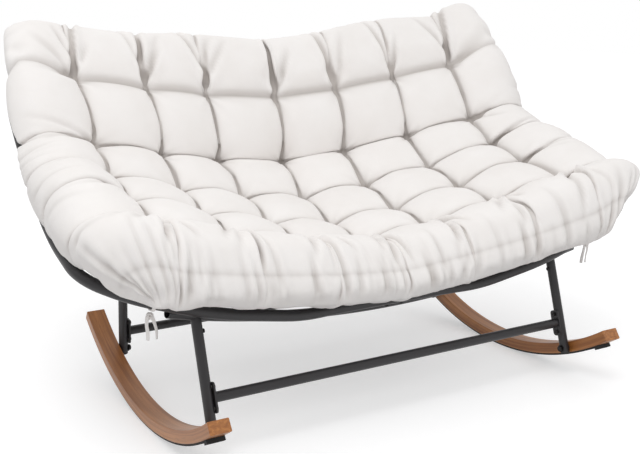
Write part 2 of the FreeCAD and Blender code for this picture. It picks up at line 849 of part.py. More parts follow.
# bolts of the stretcher plates and the rivet nuts that hold them in the legs
flange_bolt = headed(
    size("flange_bolt_head"),
    size("flange_bolt_head_height"),
    size("flange_bolt"),
    size("flange_bolt_length"),
)
rivet_nut = Part.makeCylinder(size("rivet_nut_body") / 2, size("rivet_nut_length"))
rivet_nut = rivet_nut.cut(
    Part.makeCylinder(size("flange_bolt") / 2 + size("hole_gap"), size("rivet_nut_length"))
)
flange_bolts = []
rivet_nuts = []
for (place, side), leg in legs.items():
    outward = Vector(SIDES[side], 0, 0)
    for point in flange_bolt_points(leg, place):
        face = Vector(SIDES[side] * leg_inner_face, point.y, point.z)
        seat = face - outward * size("flange_thickness")
        flange_bolts.append(placed(flange_bolt, seat, outward))
        rivet_nuts.append(placed(rivet_nut, face, outward))
group("flange_bolts", flange_bolts)
group("rivet_nuts", rivet_nuts)

# cushion


def row_values(name):
    """The sheet's values for one row of the cushion."""
    return {field: size(f"row_{name}_{field}") for field in ROW_FIELDS}


def blend_rows(row_a, row_b):
    """The row halfway between two rows."""
    return {field: (row_a[field] + row_b[field]) / 2 for field in ROW_FIELDS}


def row_point(row, x, height):
    """A point of a row's plane: sideways, and up along the leaning plane from the row's middle."""
    lean = math.radians(row["lean"])
    return Vector(x, row["y"] - height * math.cos(lean), row["z"] + height * math.sin(lean))


OUTER_TUFT = 3
tuft_pitch = size("tuft_pitch") * ACROSS
outer_tuft_x = OUTER_TUFT * tuft_pitch


def row_rise(row, x):
    """How far a row has risen at a distance from the middle."""
    return row["rise"] * (abs(x) / outer_tuft_x) ** 1.5


def bulged(start, end, sag):
    """A corner list for an arc: start, a middle moved up or down the plane, and end."""
    return start, ((start[0] + end[0]) / 2, (start[1] + end[1]) / 2 + sag), end


def row_outline(row, crease, inset):
    """The closed outline of the cushion in a row's plane, drawn in by an inset."""
    crown = row["crown"]
    tops = []
    for column in range(-OUTER_TUFT, OUTER_TUFT + 1):
        tops.append((column * tuft_pitch, row_rise(row, column * tuft_pitch) + crease - inset))
    edge_x = size("seat_half_width") + row["overhang"] - inset
    crest_x = outer_tuft_x + (edge_x - outer_tuft_x) * size("border_crest_share")
    crest = (crest_x, row["crest"] + crease / 2 - inset)
    under = (edge_x - size("underside_inset"), row["under"] + inset)
    edge = (edge_x, (crest[1] + under[1]) / 2)
    outer_depth = row["depth"] * size("outer_depth_share")
    low_outer = (outer_tuft_x, row_rise(row, outer_tuft_x) - outer_depth + inset)
    low_inner_x = 1.5 * tuft_pitch
    low_inner = (low_inner_x, row_rise(row, low_inner_x) - row["depth"] + inset)

    def flip(point):
        return (-point[0], point[1])

    corner_bulge = (edge[1] - under[1]) / 4
    arcs = [bulged(a, b, crown) for a, b in zip(tops, tops[1:])]
    arcs.append(bulged(tops[-1], crest, crown))
    outer_arc = (crest, (edge_x - (edge_x - crest_x) / 4, crest[1] - corner_bulge), edge)
    inner_arc = (edge, (edge_x - size("underside_inset") / 4, under[1] + corner_bulge), under)
    arcs += [outer_arc, inner_arc]
    arcs.append(bulged(under, low_outer, -crown))
    arcs.append(bulged(low_outer, low_inner, -crown / 2))
    belly = row_rise(row, 0) - row["depth"] + inset
    arcs.append((low_inner, (0, belly), flip(low_inner)))
    mirror_side = []
    for start, middle, end in (arcs[-2], arcs[-3], inner_arc, outer_arc, arcs[OUTER_TUFT * 2]):
        mirror_side.append((flip(end), flip(middle), flip(start)))
    edges = []
    for corners in arcs + mirror_side:
        edges.append(Part.Arc(*[row_point(row, *corner) for corner in corners]).toShape())
    return Part.Wire(edges)


def cushion_sections(names, inset):
    """Outlines through these rows, with a swollen one between each two rows of tufts."""
    rows = [row_values(name) for name in names]
    sections = []
    for row, following in zip(rows, rows[1:] + [None]):
        sections.append(row_outline(row, 0, inset))
        if following:
            between = blend_rows(row, following)
            between["crown"] = size("puff_crown")
            sections.append(row_outline(between, size("puff_crease"), inset))
    return sections


# ties: a loop round the rim, a knot under it and two tails that hang from the knot
TIE_TAILS = {
    "outer": ((0, 0, 0), (-3, 1, -16), (1, 3, -34), (0, 4, -50)),
    "inner": ((0, 0, 0), (5, -2, -16), (9, -1, -33), (9, 1, -49)),
}
TAIL_SPREAD = 4.2
loop_ring = size("rim_tube") / 2 + size("weld_gap") + size("tie_loop_cord") / 2
loop_reach = loop_ring + size("tie_loop_cord") / 2
knot_radius = size("knot_diameter") / 2
tie_clearances = []


def tie_places():
    """Each tie's name, the point of the rim that it goes round, the rim's direction and its knot's."""
    below = Z_AXIS * -1
    below_behind = Vector(0, 1, -1)
    for side, hand in SIDES.items():
        yield f"front_{side}", *rim_front_at(hand * size("front_tie_reach") * ACROSS), below
        yield f"back_{side}", *rim_back_at(hand * size("back_tie_reach") * ACROSS), below_behind


def make_tie(name, point, along, toward_knot):
    """The four nodes of one tie, its knot beside the loop on the side that it hangs towards."""
    loop = doc.addObject("Part::Torus", f"tie_loop_{name}")
    loop.Radius1 = loop_ring
    bind(loop, Radius2=f"{cell('tie_loop_cord')} / 2")
    loop.Placement = FreeCAD.Placement(point, turn_from_z(along))
    keep(loop, f"tie_loop_{name}")
    tie_clearances.append(
        Part.makeTorus(loop_ring, size("tie_loop_cord") / 2 + size("weld_gap"), point, along)
    )
    knot_side = (toward_knot - along * along.dot(toward_knot)).normalize()
    knot_middle = point + knot_side * (loop_reach + size("weld_gap") + knot_radius)
    knot = doc.addObject("Part::Sphere", f"tie_knot_{name}")
    bind(knot, Radius=f"{cell('knot_diameter')} / 2")
    knot.Placement = FreeCAD.Placement(knot_middle, FreeCAD.Rotation())
    hand = 1 if point.x > 0 else -1
    tie_clearances.append(Part.makeSphere(knot_radius + size("weld_gap"), knot_middle))
    keep(knot, f"tie_knot_{name}")
    for tail, offsets in TIE_TAILS.items():
        spread = -TAIL_SPREAD if tail == "outer" else TAIL_SPREAD
        start = knot_middle + Vector(-hand * spread, 0, 0)
        corners = [start + Vector(-hand * x, y, z) for x, y, z in offsets]
        path = path_object(f"tie_tail_path_{tail}_{name}", bent_path(corners))
        cord = swept(f"tie_tail_cord_{tail}_{name}", path, f"{cell('tie_cord')} / 2")
        clear_knot = doc.addObject("Part::Sphere", f"tie_knot_clearance_{tail}_{name}")
        bind(clear_knot, Radius=f"{cell('knot_diameter')} / 2 + {cell('weld_gap')}")
        clear_knot.Placement = knot.Placement
        label = f"tie_tail_{tail}_{name}"
        keep(cut(label, cord, [clear_knot]), label)
        radii = [edge.Curve.Radius for edge in path.Shape.Edges if hasattr(edge.Curve, "Radius")]
        print(label, "length", round(path.Shape.Length, 1), "radii", [round(r) for r in radii])


for tie in tie_places():
    make_tie(*tie)

# the cushion rests on the tubes in grooves, and the hollow for its loose fill keeps a wall from them
rim_keep_out = f"{cell('rim_tube')} / 2 + {cell('tie_loop_cord')} + 3 * {cell('weld_gap')}"
rib_keep_out = f"{cell('rib_tube')} / 2 + {cell('weld_gap')}"
keep_outs = []
for side, path in rim_paths.items():
    radius = f"{rim_keep_out} + {cell('fill_wall')}"
    keep_outs.append(swept(f"rim_keep_out_{side}", path, radius))
for number, path in enumerate(rib_paths, start=1):
    radius = f"{rib_keep_out} + {cell('fill_wall')}"
    keep_outs.append(swept(f"rib_keep_out_{number}", path, radius))
doc.recompute()
cushion_shape = Part.makeLoft(cushion_sections(list(CUSHION_ROWS), 0), True, True)
groove_bars = [*rim_clearance.values(), *rib_clearance, *bar_clearance.values()]
for groove in [bar.Shape for bar in groove_bars] + tie_clearances:
    cushion_shape = cushion_shape.cut(groove)
hollow = Part.makeLoft(cushion_sections(HOLLOW_ROWS, size("fill_wall")), True, True)
for keep_out in keep_outs:
    hollow = hollow.cut(keep_out.Shape)
hollow = max(hollow.Solids, key=lambda solid: abs(solid.Volume))
cushion_shape = cushion_shape.cut(hollow)
cushion = doc.addObject("Part::Feature", "cushion")
cushion.Shape = cushion_shape.Solids[0]
keep(cushion, "cushion")


def check_and_write():
    """Stop if anything failed, then write each sub-part to its own file."""
    doc.recompute()
    for obj in doc.Objects:
        if "Invalid" in obj.State or "Error" in obj.State:
            raise RuntimeError(f"{obj.Label} failed: {obj.State}")
    for obj in sub_parts:
        if obj.Shape.isNull() or not obj.Shape.isValid():
            raise RuntimeError(f"{obj.Label} has no valid shape")
    os.makedirs("parts", exist_ok=True)
    for obj in sub_parts:
        obj.Shape.exportStep(f"parts/{obj.Label}.step")
        print(f"{obj.Label}: {len(obj.Shape.Solids)} solid(s), {obj.Shape.Volume / 1000:.1f} cm3")


check_and_write()
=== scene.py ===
"""Looks of the double papasan rocking chair.

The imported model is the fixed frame. The steel, wood and rubber nodes keep their shape and get a
finish. The cushion and its ties are cloth, so they are modelled here and replace their nodes.
Metres, +Z up, front at -Y.
"""
import logging
import math
from collections.abc import Sequence
from dataclasses import dataclass
from enum import Enum

import bpy
import numpy as np
from bpy.types import ID, Material, Mesh, Node, NodeSocket, NodeTree, Object
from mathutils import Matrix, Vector
from mathutils.bvhtree import BVHTree


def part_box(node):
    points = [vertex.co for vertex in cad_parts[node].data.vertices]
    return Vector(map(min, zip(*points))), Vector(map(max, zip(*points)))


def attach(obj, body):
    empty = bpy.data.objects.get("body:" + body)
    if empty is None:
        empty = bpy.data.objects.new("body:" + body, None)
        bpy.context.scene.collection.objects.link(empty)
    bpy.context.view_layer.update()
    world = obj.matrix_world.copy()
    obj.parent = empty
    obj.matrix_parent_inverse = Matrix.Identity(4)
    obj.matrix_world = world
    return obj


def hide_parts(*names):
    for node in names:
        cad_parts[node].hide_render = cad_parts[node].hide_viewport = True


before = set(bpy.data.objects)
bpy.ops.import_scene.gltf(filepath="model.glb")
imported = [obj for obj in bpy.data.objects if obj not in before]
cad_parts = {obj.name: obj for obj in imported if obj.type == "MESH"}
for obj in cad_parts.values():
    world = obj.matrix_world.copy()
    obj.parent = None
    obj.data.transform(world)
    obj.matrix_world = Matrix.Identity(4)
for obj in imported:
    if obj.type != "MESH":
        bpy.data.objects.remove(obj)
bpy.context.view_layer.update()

BODY = "root"
LOG = logging.getLogger("papasan")
CLOTH_MAP = "cloth_map"
# name of the cloth's painted shade layer, which darkens the cushion's colour in its creases
PAINTED_SHADE_LAYER = "painted_crease_shade"
PLACES = ("across", "along", "upper")
TINY = 1e-6

Colour = tuple[float, float, float]
Point = tuple[float, float, float]
Span = tuple[float, float]
Array = np.ndarray


def linear(red: int, green: int, blue: int) -> Colour:
    """Turn a display colour of 0 to 255 into the linear colour that a shader takes."""
    parts = [value / 255 for value in (red, green, blue)]
    return tuple(p / 12.92 if p <= 0.04045 else ((p + 0.055) / 1.055) ** 2.4 for p in parts)


def unit(value: Array) -> Array:
    """Hold a value between 0 and 1."""
    return np.clip(value, 0, 1)


def ease(value: Array) -> Array:
    """Rise as a quarter sine from 0 at 0 to 1 at 1, and stay there."""
    return np.sin(math.pi / 2 * unit(value))


def bell(offset: Array) -> Array:
    """Soft bump that is 1 in its middle and sinks on both sides."""
    return np.exp(-(offset**2))


def curve_through(knots: list[float], values: list[Array], where: Array) -> Array:
    """Smooth cubic curve through values that may differ from point to point.

    Args:
        knots: Rising places of the values.
        values: One array of values for each knot.
        where: Place wanted at each point.

    Returns:
        The curve's value at each point.
    """
    k = np.asarray(knots, float)
    v = np.stack(values)
    slope = np.gradient(v, k, axis=0)
    i = np.clip(np.searchsorted(k, where, side="right") - 1, 0, len(k) - 2)
    span = k[i + 1] - k[i]
    u = unit((where - k[i]) / span)

    def at(table: Array, index: Array) -> Array:
        """Pick one entry of the table for each point."""
        return np.take_along_axis(table, index[None], axis=0)[0]

    return (
        at(v, i) * (1 + 2 * u) * (1 - u) ** 2
        + at(slope, i) * span * u * (1 - u) ** 2
        + at(v, i + 1) * u**2 * (3 - 2 * u)
        - at(slope, i + 1) * span * u**2 * (1 - u)
    )


class NodeBench:
    """Adds nodes to one shader tree and links them."""

    def __init__(self, tree: NodeTree) -> None:
        """Keep the tree that the nodes go into."""
        self.tree = tree

    def add(self, kind: str, inputs: dict | None = None, **settings: object) -> Node:
        """Add one node.

        Args:
            kind: Blender's name of the node type, without a leading ShaderNode.
            inputs: Values or sockets for its inputs, by name or number.
            settings: Other properties of the node.

        Returns:
            The new node.
        """
        node = self.tree.nodes.new(kind if kind.startswith("NodeGroup") else "ShaderNode" + kind)
        for name, value in settings.items():
            setattr(node, name, value)
        self.feed(node, inputs or {})
        return node

    def feed(self, node: Node, inputs: dict) -> None:
        """Link sockets to a node's inputs, or set the inputs' own values."""
        for name, value in inputs.items():
            if isinstance(value, NodeSocket):
                self.tree.links.new(value, node.inputs[name])
            else:
                node.inputs[name].default_value = value

    def here(self) -> NodeSocket:
        """The place on the piece, in metres."""
        return self.add("TexCoord").outputs["Object"]

    def math(self, operation: str, *values: object) -> NodeSocket:
        """Do one arithmetic step on numbers or sockets and return the socket with the result."""
        return self.add("Math", dict(enumerate(values)), operation=operation).outputs[0]

    def blend(self, share: object, first: object, second: object) -> NodeSocket:
        """Mix two colours by a share from 0 to 1 and return the socket with the mix."""
        node = self.add("Mix", data_type="RGBA")
        order = [socket.identifier for socket in node.inputs]
        for name, value in (("Factor_Float", share), ("A_Color", first), ("B_Color", second)):
            self.feed(node, {order.index(name): (*value, 1) if isinstance(value, tuple) else value})
        return next(s for s in node.outputs if s.identifier == "Result_Color")

    def remap(
        self, value: object, low: float, high: float, start: float = 0.0, stop: float = 1.0
    ) -> NodeSocket:
        """Spread a value from start to stop over the range from low to high."""
        ends = (value, start, stop, low, high)
        return self.add("MapRange", dict(enumerate(ends))).outputs[0]

    def noise(
        self, place: object, scale: object, detail: float, distortion: float = 0.0
    ) -> NodeSocket:
        """Noise from 0 to 1 at a place."""
        names = ("Vector", "Scale", "Detail", "Distortion")
        values = (place, scale, detail, distortion)
        return self.add("TexNoise", dict(zip(names, values))).outputs[0]

    def bump(
        self, height: object, strength: float, distance: float, over: object = None
    ) -> NodeSocket:
        """Turn a height into a normal, on top of another normal where one is given."""
        node = self.add("Bump", {"Height": height, "Strength": strength, "Distance": distance})
        if over is not None:
            self.feed(node, {"Normal": over})
        return node.outputs[0]


class Effect(Enum):
    """Surface effects, each of which is one node group."""

    WEAVE = "cloth_weave"
    MOTTLE = "soft_mottle"
    PEEL = "coating_peel"
    GRAIN = "bent_wood_grain"


class EffectShelf:
    """Builds each effect once, so that all materials share its node group."""

    def __init__(self) -> None:
        """Start with an empty shelf."""
        self.groups: dict[Effect, NodeTree] = {}

    def group(self, effect: Effect) -> NodeTree:
        """Give the node group of an effect, and build it if it is new."""
        if effect not in self.groups:
            makers = (self._weave, self._mottle, self._peel, self._grain)
            self.groups[effect] = dict(zip(Effect, makers))[effect](effect.value)
        return self.groups[effect]

    def place(
        self, bench: NodeBench, effect: Effect, inputs: dict[str, object]
    ) -> dict[str, NodeSocket]:
        """Put an effect into a material and give the group's output sockets by name."""
        node = bench.add("Group", inputs, node_tree=self.group(effect))
        return {socket.name: socket for socket in node.outputs}

    @staticmethod
    def _shell(
        name: str, inputs: tuple[str, ...], outputs: tuple[str, ...]
    ) -> tuple[NodeBench, list[NodeSocket], Node]:
        """Make an empty group with its sockets.

        Args:
            name: Name of the group.
            inputs: Names of the input sockets.
            outputs: Names of the output sockets.

        Returns:
            The group's bench, its given sockets in order, and its output node.
        """
        tree = bpy.data.node_groups.new(name, "ShaderNodeTree")
        for direction, titles in (("INPUT", inputs), ("OUTPUT", outputs)):
            for title in titles:
                kind = "NodeSocketVector" if title == "Vector" else "NodeSocketFloat"
                tree.interface.new_socket(title, in_out=direction, socket_type=kind)
        bench = NodeBench(tree)
        given = bench.add("NodeGroupInput").outputs
        return bench, [given[title] for title in inputs], bench.add("NodeGroupOutput")

    def _weave(self, name: str) -> NodeTree:
        """Plain weave: crossing threads with slightly uneven thickness."""
        bench, (place, pitch), end = self._shell(name, ("Vector", "Pitch"), ("Height", "Slub"))
        parts = bench.add("SeparateXYZ", {0: place}).outputs
        turn = bench.math("DIVIDE", math.pi, pitch)
        warp = bench.math("SINE", bench.math("MULTIPLY", parts[0], turn))
        weft = bench.math("SINE", bench.math("MULTIPLY", parts[1], turn))
        slub = bench.noise(place, scale=420.0, detail=3.0)
        uneven = bench.math("MULTIPLY_ADD", slub, 0.8, 0.6)
        height = bench.math("MULTIPLY", bench.math("MULTIPLY", warp, weft), uneven)
        bench.feed(end, {"Height": height, "Slub": slub})
        return bench.tree

    def _mottle(self, name: str) -> NodeTree:
        """Slow uneven tone, from 0 to 1."""
        bench, (place, scale), end = self._shell(name, ("Vector", "Scale"), ("Tone",))
        wide = bench.noise(place, scale, detail=4.0)
        bench.feed(end, {"Tone": bench.remap(wide, 0.0, 1.0, start=0.32, stop=0.68)})
        return bench.tree

    def _peel(self, name: str) -> NodeTree:
        """Fine orange peel of a baked coating, with a few larger nibs."""
        bench, (place, scale), end = self._shell(name, ("Vector", "Scale"), ("Height",))
        fine = bench.noise(place, scale, detail=2.0)
        coarse = bench.math("MULTIPLY", scale, 0.35)
        cells = bench.add("TexVoronoi", {"Vector": place, "Scale": coarse}).outputs[0]
        nib = bench.remap(cells, 1.0, 0.0, start=0.0, stop=0.16)
        bench.feed(end, {"Height": bench.math("MULTIPLY_ADD", nib, 0.5, fine)})
        return bench.tree

    def _grain(self, name: str) -> NodeTree:
        """Grain that runs round a bend: streaks, pores and glue lines in the bend's own frame."""
        bench, (place, bend_height), end = self._shell(
            name, ("Vector", "Bend Height"), ("Streak", "Pore", "Layer")
        )
        parts = bench.add("SeparateXYZ", {0: place}).outputs
        drop = bench.math("SUBTRACT", bend_height, parts[2])
        angle = bench.math("ARCTAN2", parts[1], drop)
        squares = bench.math("MULTIPLY_ADD", drop, drop, bench.math("POWER", parts[1], 2.0))
        radius = bench.math("SQRT", squares)
        along = bench.math("MULTIPLY", angle, bend_height)
        bent = bench.add("CombineXYZ", {0: parts[0], 1: along, 2: radius}).outputs[0]

        def drawn_out(scale: Point, detail: float, distortion: float) -> NodeSocket:
            """Noise that is drawn out along the bend."""
            drawn = bench.add("Mapping", {"Vector": bent, "Scale": scale}).outputs[0]
            return bench.noise(drawn, 1.0, detail, distortion)

        streak = drawn_out((90.0, 2.6, 130.0), detail=6.0, distortion=0.6)
        pore = drawn_out((900.0, 45.0, 900.0), detail=1.0, distortion=0.0)
        sheet_mm, line_mm = 4.5, 0.5
        sheets = bench.math("MODULO", bench.math("MULTIPLY", radius, 1000.0), sheet_mm)
        looks = {
            "Streak": streak,
            "Pore": bench.remap(pore, 0.0, 1.0, start=0.62, stop=0.74),
            "Layer": bench.remap(sheets, 1.0, 0.0, start=0.0, stop=line_mm),
        }
        bench.feed(end, looks)
        return bench.tree


class Finish:
    """Base of all finishes: makes one material and remembers it."""

    name: str = "finish"

    def material(self, shelf: EffectShelf) -> Material:
        """Give the finish's material, and build it if it is new."""
        made = bpy.data.materials.get(self.name)
        if made is None:
            made = bpy.data.materials.new(self.name)
            made.use_nodes = True
            bench = NodeBench(made.node_tree)
            shader = next(n for n in made.node_tree.nodes if n.type == "BSDF_PRINCIPLED")
            bench.feed(shader, self.looks(bench, shelf))
        return made

    def looks(self, bench: NodeBench, shelf: EffectShelf) -> dict[str, object]:
        """Values or sockets for the shader's inputs. Each finish has its own."""
        raise NotImplementedError


@dataclass(frozen=True)
class PowderCoat(Finish):
    """Baked coating on steel tube, and the base of the other mottled hard finishes."""

    name: str = "powder_coat_black"
    colour: Colour = linear(33, 31, 33)
    worn: Colour = linear(52, 50, 52)
    gloss: Span = (0.35, 0.48)
    skin_scale: float = 620.0
    skin_strength: float = 0.35
    skin_depth: float = 0.00012
    wear_scale: float = 9.0
    wear_share: float = 0.35
    wear_power: float = 1.0
    metallic: float = 0.0

    def looks(self, bench: NodeBench, shelf: EffectShelf) -> dict[str, object]:
        """A fine skin in the normal, uneven gloss, and a worn or dusty tone here and there."""
        place = bench.here()
        skin = shelf.place(bench, Effect.PEEL, {"Vector": place, "Scale": self.skin_scale})
        worn = shelf.place(bench, Effect.MOTTLE, {"Vector": place, "Scale": self.wear_scale})
        wear = worn["Tone"]
        share = bench.math("MULTIPLY", bench.math("POWER", wear, self.wear_power), self.wear_share)
        return {
            "Base Color": bench.blend(share, self.colour, self.worn),
            "Roughness": bench.remap(wear, *self.gloss),
            "Normal": bench.bump(skin["Height"], self.skin_strength, self.skin_depth),
            "Metallic": self.metallic,
        }


@dataclass(frozen=True)
class BareMetal(PowderCoat):
    """Steel of fasteners and inserts, plated or blackened, with tarnish."""

    name: str = "zinc_steel"
    colour: Colour = linear(176, 176, 172)
    worn: Colour = linear(128, 126, 122)
    gloss: Span = (0.32, 0.46)
    skin_scale: float = 2200.0
    skin_strength: float = 0.2
    skin_depth: float = 0.00005
    wear_scale: float = 140.0
    wear_share: float = 1.0
    metallic: float = 1.0


@dataclass(frozen=True)
class MouldedPolymer(PowderCoat):
    """Rubber or plastic with a spark-eroded skin and scuffs."""

    name: str = "tread_rubber"
    colour: Colour = linear(26, 26, 27)
    worn: Colour = linear(58, 57, 56)
    gloss: Span = (0.66, 0.82)
    skin_scale: float = 900.0
    skin_strength: float = 0.4
    skin_depth: float = 0.00015
    wear_scale: float = 35.0
    wear_share: float = 0.5
    wear_power: float = 2.0


@dataclass(frozen=True)
class StainedWood(Finish):
    """Bent laminated wood with a warm stain under a satin lacquer."""

    name: str = "stained_bent_wood"
    pale: Colour = linear(187, 123, 64)
    deep: Colour = linear(130, 76, 33)
    pore: Colour = linear(104, 64, 34)
    bend_height: float = 0.7003
    gloss: Span = (0.36, 0.52)
    streak_range: Span = (0.28, 0.72)
    pore_share: float = 0.5
    glue_share: float = 0.22
    grain_strength: float = 0.25
    grain_depth: float = 0.0002

    def looks(self, bench: NodeBench, shelf: EffectShelf) -> dict[str, object]:
        """Streaks and pores round the bend, thin glue lines, and a thin lacquer."""
        given = {"Vector": bench.here(), "Bend Height": self.bend_height}
        grain = shelf.place(bench, Effect.GRAIN, given)
        streak = bench.remap(grain["Streak"], 0.0, 1.0, *self.streak_range)
        wood = bench.blend(streak, self.pale, self.deep)
        pored = bench.blend(bench.math("MULTIPLY", grain["Pore"], self.pore_share), wood, self.pore)
        glue = bench.math("MULTIPLY", grain["Layer"], self.glue_share)
        low = bench.math("MULTIPLY_ADD", grain["Pore"], -1.0, grain["Streak"])
        return {
            "Base Color": bench.blend(glue, pored, self.pore),
            "Roughness": bench.remap(grain["Streak"], *self.gloss),
            "Normal": bench.bump(low, self.grain_strength, self.grain_depth),
            "Coat Weight": 0.18,
            "Coat Roughness": 0.3,
        }


@dataclass(frozen=True)
class WovenCloth(Finish):
    """Plain woven polyester with a soft matt face; it reads its weave from the piece's own map."""

    name: str = "cushion_cloth"
    colour: Colour = linear(243, 240, 238)
    shaded: Colour = linear(231, 226, 222)
    # painted shade: this darker colour is mixed in along the crease layer, in folds, sewn lines and
    # the seam
    fold: Colour = linear(158, 149, 142)
    thread_pitch: float = 0.0011
    gloss: Span = (0.8, 0.95)
    dye_scale: float = 11.0
    dye_share: float = 0.35
    slub_share: float = 0.16
    fold_shade_share: float = 0.6
    slack_scale: float = 26.0

    def looks(self, bench: NodeBench, shelf: EffectShelf) -> dict[str, object]:
        """Weave and slack in the normal, uneven dye, and painted shade: a darker colour in the
        folds and along the sewn lines and seam.
        """
        flat = bench.add("UVMap", uv_map=CLOTH_MAP).outputs[0]
        place = bench.here()
        weave = shelf.place(bench, Effect.WEAVE, {"Vector": flat, "Pitch": self.thread_pitch})
        dye = shelf.place(bench, Effect.MOTTLE, {"Vector": place, "Scale": self.dye_scale})["Tone"]
        # painted shade: the crease layer darkens the cloth colour where shade falls in the folds
        # and sewn lines
        painted_crease_shade = bench.add("Attribute", attribute_name=PAINTED_SHADE_LAYER).outputs["Fac"]
        cloth = bench.blend(bench.math("MULTIPLY", dye, self.dye_share), self.colour, self.shaded)
        thread = bench.math("MULTIPLY", weave["Slub"], self.slub_share)
        cloth = bench.blend(thread, cloth, self.shaded)
        painted_fold_shade = bench.math("MULTIPLY", painted_crease_shade, self.fold_shade_share)
        slack = bench.noise(place, self.slack_scale, detail=4.0, distortion=0.5)
        rumple = bench.bump(slack, strength=0.22, distance=0.004)
        return {
            "Base Color": bench.blend(painted_fold_shade, cloth, self.fold),
            "Roughness": bench.remap(weave["Slub"], *self.gloss),
            "Normal": bench.bump(weave["Height"], strength=0.25, distance=0.00025, over=rumple),
            "Sheen Weight": 0.12,
            "Sheen Roughness": 0.5,
            "Specular IOR Level": 0.25,
        }


def calm_selection() -> None:
    """Leave edit mode and deselect everything, because operators act on all that is selected."""
    if bpy.context.object and bpy.context.object.mode != "OBJECT":
        bpy.ops.object.mode_set(mode="OBJECT")
    bpy.ops.object.select_all(action="DESELECT")


def pick(piece: Object) -> None:
    """Select one piece alone and make it active."""
    calm_selection()
    piece.select_set(True)
    bpy.context.view_layer.objects.active = piece


def link(name: str, data: ID) -> Object:
    """Put a new object with this data into the scene.

    Args:
        name: Name of the object.
        data: Its mesh, curve, lamp or camera.

    Returns:
        The object.
    """
    thing = bpy.data.objects.new(name, data)
    bpy.context.scene.collection.objects.link(thing)
    return thing


def mesh_piece(name: str, points: Array, faces: list[Sequence[int]]) -> Object:
    """Make a mesh object from points and faces.

    Args:
        name: Name of the piece.
        points: One row of three coordinates for each vertex.
        faces: Vertex numbers of each face.

    Returns:
        The linked object.
    """
    mesh = bpy.data.meshes.new(name)
    mesh.from_pydata(np.asarray(points, float).tolist(), [], faces)
    mesh.update()
    return link(name, mesh)


def read(items: Sequence, name: str, width: int, kind: type = np.float32) -> Array:
    """Read a property of all items of a mesh's list.

    Args:
        items: The list, such as the mesh's vertices.
        name: Name of the property.
        width: How many values an item has.
        kind: Kind of the values.

    Returns:
        One row for each item.
    """
    flat = np.empty(len(items) * width, kind)
    items.foreach_get(name, flat)
    return flat.reshape(-1, width)


def positions(mesh: Mesh) -> Array:
    """Read a mesh's vertex positions as rows of three."""
    return read(mesh.vertices, "co", 3).astype(float)


def set_positions(mesh: Mesh, points: Array) -> None:
    """Write a mesh's vertex positions from rows of three."""
    mesh.vertices.foreach_set("co", np.ascontiguousarray(points, np.float32).ravel())
    mesh.update()


def layer_values(mesh: Mesh, name: str) -> Array:
    """Read one number for each vertex from a named layer."""
    return read(mesh.attributes[name].data, "value", 1)[:, 0].astype(float)


def set_layer(mesh: Mesh, name: str, values: Array) -> None:
    """Write one number for each vertex to a named layer."""
    layer = mesh.attributes.get(name) or mesh.attributes.new(name, "FLOAT", "POINT")
    layer.data.foreach_set("value", np.ascontiguousarray(values, np.float32))


